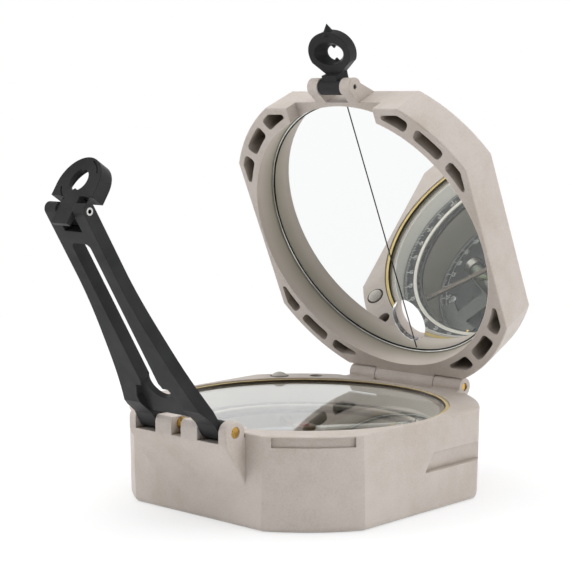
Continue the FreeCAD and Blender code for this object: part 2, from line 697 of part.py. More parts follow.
def pinion():
    """Adjusting pinion with a driver slot in its outer end."""
    centre = V(0, 0, PINION_Z)
    end = PINION_IN + PINION_LEN
    body = rod(PINION_ROOT_R, PINION_IN, end, centre)
    tooth = [(-PINION_ROOT_W / 2, 0), (PINION_ROOT_W / 2, 0), (PINION_ROOT_W / 2, PINION_ROOT_R)]
    tooth += [(PINION_TIP_W / 2, PINION_R), (-PINION_TIP_W / 2, PINION_R)]
    tooth += [(-PINION_ROOT_W / 2, PINION_ROOT_R)]
    flank = prism_x([(y, PINION_Z + z) for y, z in tooth], PINION_IN, end)
    teeth = []
    for count in range(PINION_TEETH):
        teeth.append(turned(flank, centre, X_AXIS, count * 360.0 / PINION_TEETH))
    body = body.fuse(teeth)
    body = body.fuse(rod(PINION_SHAFT_R, end, PINION_END, centre))
    deep = PINION_END - DRIVER_SLOT_DEPTH
    half = DRIVER_SLOT_W / 2
    body = body.cut(block(deep, BIG, -BIG, BIG, PINION_Z - half, PINION_Z + half))
    put(turned(body.removeSplitter(), ORIGIN, Z_AXIS, PINION_ANGLE), "adjusting_pinion")


# ---------------------------------------------------------------- needle


def needle_limb():
    """One tapered limb of the needle pointing along +X."""
    root = NEEDLE_ROOT_W / 2
    tip = NEEDLE_TIP_W / 2
    shoulder = NEEDLE_LEN - root
    outline = [(NEEDLE_ROOT, -root * 0.5), (NEEDLE_ROOT + root, -root), (shoulder, -tip * 1.6)]
    outline += [(NEEDLE_LEN, -0.08), (NEEDLE_LEN, 0.08), (shoulder, tip * 1.6)]
    outline += [(NEEDLE_ROOT + root, root), (NEEDLE_ROOT, root * 0.5)]
    return prism_z(outline, NEEDLE_Z, NEEDLE_Z + NEEDLE_T)


def needle():
    """Magnetic needle with its cap, jewel and balance weight."""
    cap = disc(NEEDLE_CAP_R, JEWEL_Z, JEWEL_Z + NEEDLE_CAP_H)
    limb = needle_limb()
    reach = NEEDLE_ROOT_W / 2 + WEIGHT_T
    low = NEEDLE_Z - WEIGHT_T
    high = NEEDLE_Z + NEEDLE_T + WEIGHT_T
    weight = block(WEIGHT_AT, WEIGHT_AT + WEIGHT_LEN, -reach, reach, low, high).cut(limb)
    north = limb.cut(cap)
    south = turned(north, ORIGIN, Z_AXIS, 180)
    weight = turned(weight, ORIGIN, Z_AXIS, 180)
    cap = cap.cut(disc(JEWEL_R, 0, BIG))
    jewel = disc(JEWEL_R, JEWEL_Z, JEWEL_Z + JEWEL_H)
    jewel = jewel.cut(Part.makeCone(JEWEL_CONE_R, 0, JEWEL_CONE_H, V(0, 0, JEWEL_Z)))
    pieces = (("needle_north", north), ("needle_south", south), ("needle_weight", weight))
    pieces += (("needle_cap", cap), ("needle_jewel", jewel))
    for name, shape in pieces:
        put(turned(shape, ORIGIN, Z_AXIS, NEEDLE_ANGLE), name)


# ---------------------------------------------------------------- clinometer


def bracket_plate():
    """Level bracket with its vernier arc, tube side along +Y."""
    low = BRACKET_Z
    high = SEAT_ON_BRACKET
    body = disc(BRACKET_HUB_R, low, high)
    spread = math.radians(VERNIER_HALF)
    reach = 2 * VERNIER_R
    wedge = [(0, 0), (reach * math.sin(spread), reach * math.cos(spread))]
    wedge += [(-reach * math.sin(spread), reach * math.cos(spread))]
    arc = ring(VERNIER_R, VERNIER_R - VERNIER_W, low, high).common(prism_z(wedge, low, high))
    spoke = block(-SPOKE_W / 2, SPOKE_W / 2, -ROUND_OFF, VERNIER_R - VERNIER_W / 2, low, high)
    rest = block(-TUBE_HALF, TUBE_HALF, TUBE_OFF - CAP_R, TUBE_OFF + CAP_R, low, high)
    pad = disc(ROUND_R + 0.6, low, high, 0, -ROUND_OFF)
    body = body.fuse([arc, spoke, rest, pad])
    body = body.cut(disc(PIVOT_BASE_R, 0, BIG))
    for side in (-1, 1):
        body = body.cut(disc(SCREW_SHANK_R, 0, BIG, side * BRACKET_SCREW_X, BRACKET_SCREW_Y))
    return body.removeSplitter()


def tube_level():
    """Glass level tube with its bubble, end caps and cradle."""
    centre = V(0, TUBE_OFF, TUBE_Z)
    inner = TUBE_R - TUBE_WALL
    vial = rod(TUBE_R, -TUBE_HALF, TUBE_HALF, centre)
    spirit = rod(inner, -TUBE_HALF + 1, TUBE_HALF - 1, centre)
    lifted = V(0, TUBE_OFF, TUBE_Z + inner - BUBBLE_R)
    bubble = rod(BUBBLE_R, -BUBBLE_HALF, BUBBLE_HALF, lifted)
    for side in (-1, 1):
        bubble = bubble.fuse(Part.makeSphere(BUBBLE_R, lifted + X_AXIS * (side * BUBBLE_HALF)))
    bubble = bubble.common(rod(inner - 0.02, -BIG, BIG, centre)).removeSplitter()
    pieces = [("tube_vial", vial.cut(spirit)), ("tube_spirit", spirit.cut(bubble)), ("tube_bubble", bubble)]
    for name, side in (("tube_cap_a", -1), ("tube_cap_b", 1)):
        start = min(side * TUBE_HALF, side * (TUBE_HALF - CAP_LEN))
        cap = rod(CAP_R, start, start + CAP_LEN, centre)
        cap = cap.cut(rod(TUBE_R, -BIG, BIG, centre))
        foot = block(start, start + CAP_LEN, TUBE_OFF - CAP_R, TUBE_OFF + CAP_R, SEAT_ON_BRACKET, TUBE_Z)
        foot = foot.cut(rod(CAP_R, -BIG, BIG, centre))
        pieces.append((name, cap.fuse(foot).removeSplitter()))
    return pieces


def round_level():
    """Round level: metal cup, spirit, bubble and domed glass."""
    low = SEAT_ON_BRACKET
    top = low + ROUND_H
    inner = ROUND_R - ROUND_WALL
    y = -ROUND_OFF
    hollow = disc(inner, low + ROUND_WALL, top + 1, 0, y)
    cup = disc(ROUND_R, low, top, 0, y).cut(hollow)
    glass = disc(inner, top - ROUND_GLASS_T, top, 0, y)
    spirit = disc(inner, low + ROUND_WALL, top - ROUND_GLASS_T, 0, y)
    bubble = disc(ROUND_BUBBLE_R, top - 2 * ROUND_GLASS_T, top - ROUND_GLASS_T, 0.4, y + 0.3)
    pieces = [("round_cup", cup), ("round_glass", glass), ("round_spirit", spirit.cut(bubble))]
    pieces.append(("round_bubble", bubble))
    return pieces


def outside_lever():
    """Lever under the case that turns the level bracket."""
    top = LEVER_Z + LEVER_T
    half = LEVER_W / 2
    blade = [(-half, 0), (half, 0), (half * 0.6, LEVER_LEN), (-half * 0.6, LEVER_LEN)]
    body = disc(LEVER_HUB_R, LEVER_Z, top).fuse(prism_z(blade, LEVER_Z, top))
    body = body.fuse(disc(half * 0.9, LEVER_Z, top, 0, LEVER_LEN - half * 0.2))
    return body.cut(disc(SCREW_SHANK_R, 0, BIG)).removeSplitter()


def clinometer():
    """Everything that turns with the outside lever."""
    hub = disc(HUB_R, LEVER_Z + LEVER_T, FLANGE_Z).fuse(disc(FLANGE_R, FLANGE_Z, BRACKET_Z))
    bracket_screws = []
    for side in (-1, 1):
        x = side * BRACKET_SCREW_X
        hub = hub.cut(disc(SCREW_SHANK_R, 0, BIG, x, BRACKET_SCREW_Y))
        bracket_screws.append(screw(x, BRACKET_SCREW_Y, SEAT_ON_BRACKET, BRACKET_T + FLANGE_T))
    hub = hub.cut(disc(SCREW_SHANK_R, 0, FLANGE_Z))
    pivot_top = JEWEL_Z + JEWEL_CONE_H - 2 * RUN
    cone_low = pivot_top - JEWEL_CONE_H * 0.62
    pivot = disc(PIVOT_BASE_R, BRACKET_Z, PIVOT_BASE_TOP).fuse(disc(PIVOT_R, PIVOT_BASE_TOP, cone_low))
    pivot = pivot.fuse(Part.makeCone(PIVOT_R, 0.04, pivot_top - cone_low, V(0, 0, cone_low)))
    flipped = screw(0, 0, 0, LEVER_T + 1.0)
    flipped = turned(flipped, ORIGIN, X_AXIS, 180)
    flipped.translate(V(0, 0, LEVER_Z))
    pieces = [("clino_hub", hub.removeSplitter()), ("level_bracket", bracket_plate())]
    pieces += [("hub_bush", ring(HUB_BUSH_R, HUB_R, FOOT_DEPTH, PLATE_Z))]
    pieces += [("needle_pivot", pivot.removeSplitter()), ("outside_lever", outside_lever())]
    pieces += [("lever_screw", flipped)]
    for number, shape in enumerate(bracket_screws):
        pieces.append(("bracket_screw_%d" % (number + 1), shape))
    pieces += tube_level() + round_level()
    for name, shape in pieces:
        put(turned(shape, ORIGIN, Z_AXIS, BRACKET_ANGLE - 90), name)


# ---------------------------------------------------------------- needle brake


def brake():
    """Push button on the rim and the lever it works."""
    under = CASE_H - BUTTON_SINK + BUTTON_TRAVEL + SIDE
    top = under + BUTTON_HEAD_T
    dome_h = CASE_H + BUTTON_RISE - top
    head = disc(BUTTON_R, under, top, BUTTON_RHO)
    radius = (BUTTON_R ** 2 + dome_h ** 2) / (2 * dome_h)
    ball = Part.makeSphere(radius, V(BUTTON_RHO, 0, top + dome_h - radius))
    dome = ball.common(disc(BUTTON_R, top, BIG, BUTTON_RHO))
    stem_low = BRAKE_Z + BRAKE_T + BUTTON_TRAVEL + RUN
    button = head.fuse([dome, disc(BUTTON_STEM_R, stem_low, under, BUTTON_RHO)]).removeSplitter()
    put(turned(button, ORIGIN, Z_AXIS, BUTTON_ANGLE), "brake_button")
    high = BRAKE_Z + BRAKE_T
    half = BRAKE_W / 2
    bar = block(PIVOT_BASE_R, BRAKE_END, -half, half, BRAKE_Z, high)
    loop = disc(BRAKE_RING_R, BRAKE_Z, BRAKE_RING_TOP)
    lever = bar.fuse(loop).cut(disc(PIVOT_BASE_R + LOOSE, 0, BIG))
    middle = V(BRAKE_FULCRUM, 0, BRAKE_Z + BRAKE_T / 2)
    eye = Part.makeCylinder(BRAKE_PIN_R + RUN, 2 * BRAKE_BAY, middle - Y_AXIS * BRAKE_BAY, Y_AXIS)
    swell = Part.makeCylinder(BRAKE_PIN_R + BRAKE_T / 2, 2 * half, middle - Y_AXIS * half, Y_AXIS)
    swell = swell.common(block(-BIG, BIG, -half, half, BRAKE_Z - LOOSE / 2, high + LOOSE / 2))
    lever = lever.fuse(swell).cut(eye).removeSplitter()
    put(turned(lever, ORIGIN, Z_AXIS, BUTTON_ANGLE), "brake_lever")


# ---------------------------------------------------------------- lid


def window(a, b, z0, z1):
    """Upright oval prism at the window's place."""
    oval = Part.Ellipse(V(0, WINDOW_Y + b, z0), V(a, WINDOW_Y, z0), V(0, WINDOW_Y, z0)).toShape()
    return Part.Face(Part.Wire(oval)).extrude(V(0, 0, z1 - z0))


def lid_ear():
    """One ear for the small sight on the free end of the lid."""
    pin = SIGHT_PIN
    back = -HALF + EAR_ROOT
    crest = LID_TOP - LID_ROUND
    outline = [(back, LID_Z + RELIEF_H), (-HALF, LID_Z + RELIEF_H), (pin.y, pin.z - EAR_FRONT)]
    outline += [(pin.y - EAR_R, pin.z), (-HALF, crest), (back, crest)]
    body = prism_x(outline, EAR_IN, EAR_IN + EAR_W)
    return body.fuse(rod(EAR_R, EAR_IN, EAR_IN + EAR_W, pin)).removeSplitter()


def lid_knuckle():
    """Middle knuckle of the lid hinge with its web to the lid."""
    half = LID_KNUCKLE_HALF
    wall = HALF - EAR_ROOT
    outline = [(wall, LID_Z), (LID_PIN.y - KNUCKLE_R, LID_Z), (LID_PIN.y, LID_PIN.z)]
    outline += [(LID_PIN.y, LID_PIN.z + KNUCKLE_R), (wall, LID_PIN.z + KNUCKLE_R + WEB_RISE)]
    return prism_x(outline, -half, half).fuse(rod(KNUCKLE_R, -half, half, LID_PIN))


def sharp_uprights(pocket, tip, thin):
    """Sharp upright edges of a pocket, either at its thin end, nearer a flat than the angle tip, or not."""
    found = []
    for edge in pocket.Edges:
        box = edge.BoundBox
        near_flat = min(box.YMax / box.XMax, box.XMax / box.YMax) < math.tan(tip)
        faces = pocket.ancestorsOfType(edge, Part.Face)
        first, second = [face.normalAt(*face.Surface.parameter(edge.Vertexes[0].Point)) for face in faces]
        if box.ZLength > BITE and near_flat == thin and abs(first.dot(second)) < math.cos(math.radians(8)):
            found.append(edge)
    return found


def corner_pockets():
    """The three pockets of one corner between the bore and the outline, parted by two ribs."""
    z0 = LID_Z - BITE
    z1 = LID_Z + POCKET_DEPTH
    flat = HALF - POCKET_EDGE
    outer = CORNER_R - POCKET_EDGE
    inner = LID_BORE_R + POCKET_WALL
    body = block(0, flat, 0, flat, z0, z1).common(ring(outer, inner, z0, z1))
    tip = (math.acos(flat / outer) + math.acos(flat / inner)) / 2
    rib = block(0, BIG, -RIB_W / 2, RIB_W / 2, z0 - BITE, z1 + BITE)
    ribs = [turned(rib, ORIGIN, Z_AXIS, 45 + side * RIB_ANGLE) for side in (-1, 1)]
    rounded = []
    for pocket in body.cut(ribs).Solids:
        for radius, thin in ((POCKET_TIP_R, True), (POCKET_ROUND, False)):
            edges = sharp_uprights(pocket, tip, thin)
            if edges:
                pocket = pocket.makeFillet(radius, edges)
        rounded.append(pocket)
    return Part.makeCompound(rounded)


def lid_shell():
    """Lid casting, drawn shut."""
    body = plan(LID_Z, LID_TOP, LID_TOP, LID_LIP)
    body = body.makeFillet(LID_ROUND, edges_at(body, LID_TOP))
    body = body.makeFillet(TOP_ROUND, edges_at(body, LID_Z))
    body = body.cut(disc(LID_BORE_R, LID_Z - 1, MIRROR_Z + MIRROR_T))
    body = body.cut(window(WINDOW_A, WINDOW_B, LID_Z, LID_TOP + 1))
    relief = block(-RELIEF_HALF, RELIEF_HALF, -BIG, RELIEF_IN - HALF, LID_Z - 1, LID_Z + RELIEF_H)
    body = body.cut(relief)
    pockets = corner_pockets()
    for quarter in (0, 90, 180, 270):
        body = body.cut(turned(pockets, ORIGIN, Z_AXIS, quarter))
    ear = lid_ear()
    body = body.fuse([ear, ear.mirror(ORIGIN, X_AXIS), lid_knuckle()])
    body = body.cut(rod(LID_PIN_R + RUN, -KNUCKLE_HALF, KNUCKLE_HALF, LID_PIN))
    body = body.cut(rod(SIGHT_PIN_R, -EAR_IN - EAR_W, EAR_IN + EAR_W, SIGHT_PIN))
    return body.removeSplitter()


def lid():
    """Lid casting with the mirror, its gasket, window pane, sight line and sight pin."""
    put(opened(lid_shell()), "lid_shell")
    back = MIRROR_Z + MIRROR_T
    bed = MIRROR_R + GASKET_W
    put(opened(ring(bed, MIRROR_R + SEAT_RELIEF, MIRROR_Z + 0.1, back)), "mirror_gasket")
    mirror = disc(MIRROR_R, MIRROR_Z, back)
    put(opened(mirror.cut(window(WINDOW_A, WINDOW_B, 0, BIG))), "mirror_glass")
    pane = window(WINDOW_A - SEAT_RELIEF, WINDOW_B - SEAT_RELIEF, MIRROR_Z, back)
    put(opened(pane), "mirror_window")
    half = LINE_W / 2
    reach = MIRROR_R - LINE_END
    line = block(-half, half, -reach, reach, MIRROR_Z - LINE_T, MIRROR_Z)
    put(opened(line), "sight_line")
    wire = Part.makeTorus(LID_BORE_R - CLIP_R, CLIP_R, V(0, 0, MIRROR_Z - CLIP_R), Z_AXIS)
    put(opened(wire), "mirror_clip")
    reach = EAR_IN + EAR_W - FACE
    put(opened(rod(SIGHT_PIN_R, -reach, reach, SIGHT_PIN)), "sight_pin")


# ---------------------------------------------------------------- small sight


def toothed(cut, half_w, z_low, z_high, tooth, y0, y1):
    """A sighting hole with two facing index teeth left standing in it, half_w wide each way at the edge."""
    root = half_w * (tooth + BITE) / tooth
    for edge, sense in ((z_low, 1), (z_high, -1)):
        base = edge - sense * BITE
        point = edge + sense * tooth
        wedge = prism_y([(-root, base), (root, base), (0, point)], y0, y1)
        cut = cut.cut(wedge)
    return cut


def oval_curve(a, b, up, y):
    """Upright ellipse facing Y, half across a, half along b."""
    middle = V(0, y, up)
    return Part.Ellipse(middle + V(a, 0, 0), middle + V(0, 0, b), middle)


def oval(a, b, up, y):
    """The same ellipse as a closed wire."""
    return Part.Wire(oval_curve(a, b, up, y).toShape())


def small_sight():
    """Oval small sight, drawn upright at its pin with the front towards -Y."""
    y0 = SIGHT_BACK
    y1 = y0 + SIGHT_T
    up = SIGHT_UP
    neck = SIGHT_NECK_HALF
    spread = math.radians(SIGHT_SPREAD)
    crown = Part.ArcOfEllipse(oval_curve(SIGHT_A, SIGHT_B, up, y0), -spread, math.pi + spread).toShape()
    right, left = crown.Vertexes[0].Point, crown.Vertexes[1].Point
    side = [left, V(-neck, y0, SIGHT_NECK_UP), V(-neck, y0, 0)]
    side += [V(neck, y0, 0), V(neck, y0, SIGHT_NECK_UP), right]
    body = Part.Face(Part.Wire([crown] + Part.makePolygon(side).Edges)).extrude(V(0, SIGHT_T, 0))
    foot = [(-neck, 0), (neck, 0), (neck, SIGHT_NECK_UP), (-neck, SIGHT_NECK_UP)]
    body = body.fuse(prism_y(foot, -SIGHT_BARREL_R * 0.5, y0))
    body = body.fuse(rod(SIGHT_BARREL_R, -SIGHT_BARREL_HALF, SIGHT_BARREL_HALF, ORIGIN))
    base = up + SIGHT_B - BITE
    middle = (y0 + y1) / 2
    body = body.fuse(Part.makeCone(SIGHT_TIP_R + BITE / 2, RUN, SIGHT_TIP_H + BITE, V(0, middle, base)))
    eye_up = up - SIGHT_EYE_DROP
    floor = y1 - SIGHT_WEB
    wide_end = oval(SIGHT_CUP_A, SIGHT_CUP_B, up, y0)
    cup = Part.makeLoft([wide_end, oval(SIGHT_EYE_A, SIGHT_EYE_B, eye_up, floor)], True)
    eye = Part.Face(oval(SIGHT_EYE_A, SIGHT_EYE_B, eye_up, floor - RUN)).extrude(V(0, SIGHT_T, 0))
    mouth = Part.Face(oval(SIGHT_CUP_A, SIGHT_CUP_B, up, y0 - BITE)).extrude(V(0, BITE, 0))
    low_eye, high_eye = eye_up - SIGHT_EYE_B, eye_up + SIGHT_EYE_B
    eye = toothed(eye, SIGHT_TOOTH_HALF, low_eye, high_eye, SIGHT_TOOTH, floor - BITE, y1 + BITE)
    body = body.cut(mouth).cut(cup).cut(eye)
    body = body.cut(rod(SIGHT_PIN_R + RUN, -BIG, BIG, ORIGIN)).removeSplitter()
    body.rotate(ORIGIN, X_AXIS, 90 - SIGHT_LEAN)
    body.translate(SIGHT_PIN)
    put(opened(body), "small_sight")


# ---------------------------------------------------------------- arm and peep leaf


def arm_outline():
    """Flared outside of the arm as one face in the XZ plane."""
    right = [V(half, 0, along) for along, half in ARM_FLARE]
    curve = Part.BSplineCurve()
    curve.interpolate(right)
    left = Part.BSplineCurve()
    left.interpolate([V(-p.x, 0, p.z) for p in right])
    foot_r = V(LEG_OUT, 0, -ARM_BARREL_R - 1)
    foot_l = V(-LEG_OUT, 0, -ARM_BARREL_R - 1)
    tip_r = V(ARM_TIP_HALF, 0, ARM_LEN + 1)
    tip_l = V(-ARM_TIP_HALF, 0, ARM_LEN + 1)
    edges = [Part.makeLine(foot_l, foot_r), Part.makeLine(foot_r, right[0]), curve.toShape()]
    edges += [Part.makeLine(right[-1], tip_r), Part.makeLine(tip_r, tip_l)]
    edges += [Part.makeLine(tip_l, V(-right[-1].x, 0, right[-1].z)), left.toShape()]
    edges += [Part.makeLine(V(-right[0].x, 0, right[0].z), foot_l)]
    return Part.Face(Part.Wire(Part.__sortEdges__(edges)))


def arm_profile():
    """Side profile of the arm as a solid wider than the arm."""
    inner = -ARM_INNER
    outer = inner - ARM_T
    middle = (inner + outer) / 2
    round_r = ARM_T / 2
    toe = inner - ARM_TOE_T
    slab = [(inner, 0), (toe, 0), (toe, ARM_TOE_FLAT), (outer, ARM_TOE_RUN)]
    slab += [(outer, ARM_LEN - round_r), (inner, ARM_LEN - round_r)]
    body = prism_x(slab, -BIG, BIG)
    body = body.fuse(rod(ARM_BARREL_R, -BIG, BIG, ORIGIN))
    return body.fuse(rod(round_r, -BIG, BIG, V(0, middle, ARM_LEN - round_r)))


def arm_slot(y0, y1):
    """Long sighting slot, square-shouldered above and rounded below."""
    half = ARM_SLOT_HALF
    top = ARM_LEN - ARM_SLOT_DROP
    body = block(-half, half, y0, y1, ARM_SLOT_LOW, top)
    upright = []
    for edge in body.Edges:
        box = edge.BoundBox
        if box.XLength < RUN and box.ZLength < RUN and box.ZMin > ARM_SLOT_LOW + RUN:
            upright.append(edge)
    body = body.makeFillet(ARM_SLOT_CORNER, upright)
    return body.fuse(Part.makeCylinder(ARM_SLOT_LOW_R, y1 - y0, V(0, y0, ARM_SLOT_LOW), Y_AXIS))


def sight_arm():
    """Sighting arm, drawn upright at its pin with the outer face towards -Y."""
    face = arm_outline()
    reach = ARM_BARREL_R + ARM_T
    face.translate(V(0, -reach, 0))
    body = face.extrude(V(0, 2 * reach, 0)).common(arm_profile())
    body = body.cut(arm_slot(-BIG, BIG))
    half = LEG_IN
    step = ARM_ARCH_CORNER
    arch = [(-half, -BIG), (half, -BIG), (half, ARM_ARCH_TOP - 2 * step), (half - step, ARM_ARCH_TOP)]
    arch += [(step - half, ARM_ARCH_TOP), (-half, ARM_ARCH_TOP - 2 * step)]
    body = body.cut(prism_y(arch, -BIG, -ARM_INNER - ARM_WEB_T))
    body = body.cut(block(-half, half, -BIG, BIG, -BIG, ARM_ARCH_LOW))
    floor = LEAF_PIN_ALONG - CLEVIS_DEPTH
    web_top = LEAF_PIN_ALONG - LEAF_TONGUE_BACK - FACE
    web = -ARM_INNER - CLEVIS_BACK
    body = body.cut(block(-CLEVIS_HALF, CLEVIS_HALF, -BIG, web, floor, BIG))
    body = body.cut(block(-CLEVIS_HALF, CLEVIS_HALF, -BIG, BIG, web_top, BIG))
    body = body.cut(rod(LEAF_PIN_R, -BIG, BIG, LEAF_PIN))
    body = body.cut(rod(ARM_PIN_R + RUN, -BIG, BIG, ORIGIN)).removeSplitter()
    body.translate(ARM_PIN)
    put(leaned(body), "sight_arm")
    tube = rod(LEAF_PIN_R, -ARM_TIP_HALF, ARM_TIP_HALF, LEAF_PIN)
    tube = tube.cut(rod(LEAF_PIN_BORE, -BIG, BIG, LEAF_PIN))
    tube.translate(ARM_PIN)
    put(leaned(tube), "leaf_pin")


def leaf_plate():
    """Rounded plate of the peep leaf with its tail."""
    y0 = -LEAF_FRONT
    body = Part.makeCylinder(LEAF_R, LEAF_T, V(0, y0, LEAF_CENTRE), Y_AXIS)
    body = body.cut(block(-BIG, BIG, -BIG, BIG, -BIG, LEAF_CENTRE))
    body = body.fuse(block(-LEAF_R, LEAF_R, y0, y0 + LEAF_T, LEAF_BASE, LEAF_CENTRE))
    half = CLEVIS_HALF - SIDE
    tongue = block(-half, half, y0, LEAF_TONGUE_BACK, 0, LEAF_BASE)
    tail = block(-half, half, y0, y0 + LEAF_TAIL_T, -LEAF_TAIL, 0)
    return body.fuse([tongue, tail, rod(LEAF_TONGUE_BACK, -half, half, ORIGIN)])


def leaf_groove(y0, up):
    """Two short curved grooves on the front of the leaf, on opposite sides of its hole."""
    band = Part.makeCylinder(LEAF_GROOVE_R + LEAF_GROOVE_W, LEAF_GROOVE_DEPTH, V(0, y0, up), Y_AXIS)
    band = band.cut(Part.makeCylinder(LEAF_GROOVE_R, BIG, V(0, y0 - BITE, up), Y_AXIS))
    spread = math.radians(LEAF_GROOVE_SWEEP)
    reach = 2 * LEAF_GROOVE_R
    rise = reach * math.tan(spread)
    sector = prism_y([(0, 0), (reach, -rise), (reach, rise)], y0, y0 + BITE)
    sectors = sector.fuse(turned(sector, ORIGIN, Y_AXIS, 180))
    sectors = turned(sectors, ORIGIN, Y_AXIS, -45)
    sectors.translate(V(0, 0, up))
    return band.common(sectors)


def peep_leaf():
    """Peep leaf with its toothed hole, folded in from the straight position."""
    y0 = -LEAF_FRONT
    y1 = y0 + LEAF_T
    up = LEAF_HOLE_UP
    hole = Part.makeCylinder(LEAF_HOLE_R, LEAF_T + 2 * BITE, V(0, y0 - BITE, up), Y_AXIS)
    low, high = up - LEAF_HOLE_R, up + LEAF_HOLE_R
    hole = toothed(hole, LEAF_TOOTH_HALF, low, high, LEAF_TOOTH, y0 - 2 * BITE, y1 + 2 * BITE)
    cup = Part.makeCylinder(LEAF_R - LEAF_RIM, LEAF_T, V(0, y0 + LEAF_WEB, LEAF_CENTRE), Y_AXIS)
    cup = cup.cut(block(-BIG, BIG, -BIG, BIG, -BIG, LEAF_BASE + LEAF_WEB))
    body = leaf_plate().cut(hole).cut(cup).cut(leaf_groove(y0, up))
    body = body.cut(rod(LEAF_PIN_R + RUN, -BIG, BIG, ORIGIN)).removeSplitter()
    body.rotate(ORIGIN, X_AXIS, -LEAF_FOLD)
    body.translate(ARM_PIN + LEAF_PIN)
    put(leaned(body), "peep_leaf")


def main():
    """Build and write every piece."""
    os.makedirs("parts", exist_ok=True)
    put(case_body(), "case_body")
    put(ring(FOOT_R, HUB_BORE, FOOT_DEPTH, FLOOR_Z), "case_floor")
    case_trim()
    glazing()
    dial()
    pinion()
    needle()
    clinometer()
    brake()
    lid()
    small_sight()
    sight_arm()
    peep_leaf()


main()
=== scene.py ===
"""Finishes, markings, stage and camera for a pocket transit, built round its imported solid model.

Everything is in metres in the model's own frame: Z is up, the origin is the middle of the case's underside
and X runs along the hinge pins.
"""

import math

import bpy
import numpy as np
from mathutils import Matrix, Vector


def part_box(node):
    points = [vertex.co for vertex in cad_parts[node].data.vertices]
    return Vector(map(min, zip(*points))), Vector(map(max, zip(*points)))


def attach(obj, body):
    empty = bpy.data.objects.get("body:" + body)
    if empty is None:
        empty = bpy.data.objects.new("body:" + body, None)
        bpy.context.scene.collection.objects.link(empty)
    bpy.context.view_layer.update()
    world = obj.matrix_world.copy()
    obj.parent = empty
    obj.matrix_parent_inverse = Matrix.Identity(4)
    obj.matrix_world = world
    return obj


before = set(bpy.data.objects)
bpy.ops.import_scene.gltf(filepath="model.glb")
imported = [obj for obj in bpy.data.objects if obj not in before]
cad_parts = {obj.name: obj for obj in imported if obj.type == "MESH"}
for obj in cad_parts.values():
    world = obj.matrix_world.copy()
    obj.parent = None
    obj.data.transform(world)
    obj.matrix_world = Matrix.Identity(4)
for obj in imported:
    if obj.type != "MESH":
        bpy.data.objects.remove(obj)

bl_info = {
    "name": "Pocket transit",
    "version": (1, 0, 0),
    "blender": (4, 5, 0),
    "location": "View3D > Sidebar > Transit",
    "description": "Finishes and markings of a pocket transit",
    "category": "Object",
}

MM = 0.001
TAU = 2 * math.pi


def low(node):
    """Lowest corner of a CAD node."""
    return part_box(node)[0]


def high(node):
    """Highest corner of a CAD node."""
    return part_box(node)[1]


def reach(node):
    """Distance from the upright axis to the furthest point of a CAD node."""
    return max(math.hypot(v.co.x, v.co.y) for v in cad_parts[node].data.vertices)


def front_plane(node):
    """Normal and offset of the largest flat face of a CAD node on its -Y side."""
    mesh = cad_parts[node].data
    face = max((f for f in mesh.polygons if f.normal.y < 0), key=lambda f: f.area)
    return face.normal.copy(), max(v.co.dot(face.normal) for v in mesh.vertices)


DIAL_TOP = high("dial_ring")[2]
DIAL_OUT = high("dial_ring")[0]
TRIM_OUT = high("dial_trim")[0]
PLATE_TOP = high("scale_plate")[2]
PLATE_OUT = high("scale_plate")[0]
BRACKET_TOP = high("level_bracket")[2]
VERNIER_OUT = reach("level_bracket")
CHANNEL_OUT = high("dial_gear")[0] + 0.45 * MM  # wall round the dial
COLLAR_TOP = high("dial_gear")[2]
SEAL_TOP = high("glass_gasket")[2]
BEZEL_OUT = reach("bezel_ring")
BEZEL_FLAT = 0.95 * MM  # width of the bezel's flat, the groove counted in
BEZEL_GROOVE = 0.07 * MM
LID_BORE = (high("mirror_clip")[0] - low("mirror_clip")[0]) / 2
BORE_EDGE = 0.1 * MM  # how far beyond its radius the lid's bore gets painted shade
BORE_BACK = 0.35 * MM  # how far behind the mirror's face the bore's painted shade goes
BORE_SPAN = 7 * MM  # height over which it fades
BUTTON_RING_WIDTH = 0.45 * MM
# Width of the seal's outer edge painted dark as shade under the bezel.
SEAL_SHADED_EDGE = 0.5 * MM
SILVER = 0.05 * MM  # depth of the mirror's front face
SHELTER = 7 * MM
POLISH = 0.000004
PIN_BORE = 0.27  # radius of the leaf pin's bore over its diameter
LEVEL_TURN = math.radians(125)  # direction of the vernier's zero
MARK_EDGE = 0.2 * MM  # plain edge outside a scale
FLOOR_SIDES = 96
FLOOR_DROP = 0.05 * MM  # how far the floor lies under the part
CAMERA_AIM = Vector((-0.004105, -0.002304, 0.049683))
LAMP_AIM = Vector((0.0, 0.0, 0.04))
LAMPS = (  # name, place, diameter, watts
    ("left", (-0.75, -0.55, 0.55), 1.2, 5.6), ("right", (0.95, 0.35, 0.55), 1.2, 4.8),
    ("top", (0.0, 0.1, 1.0), 1.6, 11.0))
OPEN_SIDE = (0.68, -0.73, 0.0)  # towards the dark side of the room

CAPITAL = 0.7  # height of a figure over the size of its type

WHITE = (1.0, 1.0, 1.0)
# Colour of the dark rings round holes in the case.
HOLE_RING_DARK = (0.035, 0.03, 0.026)
BEZEL_GOLD = (0.98, 0.76, 0.34)
# Pale paint of the channel wall, made brighter than the paint itself as painted light.
CHANNEL_PALE = (0.95, 0.92, 0.86)
# Painted shade: the collar inside the dial trim lies in shadow and is painted dark.
COLLAR_PAINTED_SHADE = (0.03, 0.03, 0.028)
WELL_GREY = (0.34, 0.315, 0.265)
# Painted light: the coat inside the lid's bore is made this much lighter.
BORE_PAINTED_LIGHT = 1.45
# Painted shade: colour stops set by how open the surface is, darkest deep in recesses.
RECESS_SHADE = ((0.10, (0.32, 0.28, 0.23)), (0.32, (0.92, 0.90, 0.87)), (0.62, (1, 1, 1)))
# Painted shade in the lid's bore, darkest next to the mirror.
BORE_SHADE = ((0.04, (0.30, 0.31, 0.26)), (0.16, (0.74, 0.75, 0.68)), (0.7, (1, 1, 0.98)))


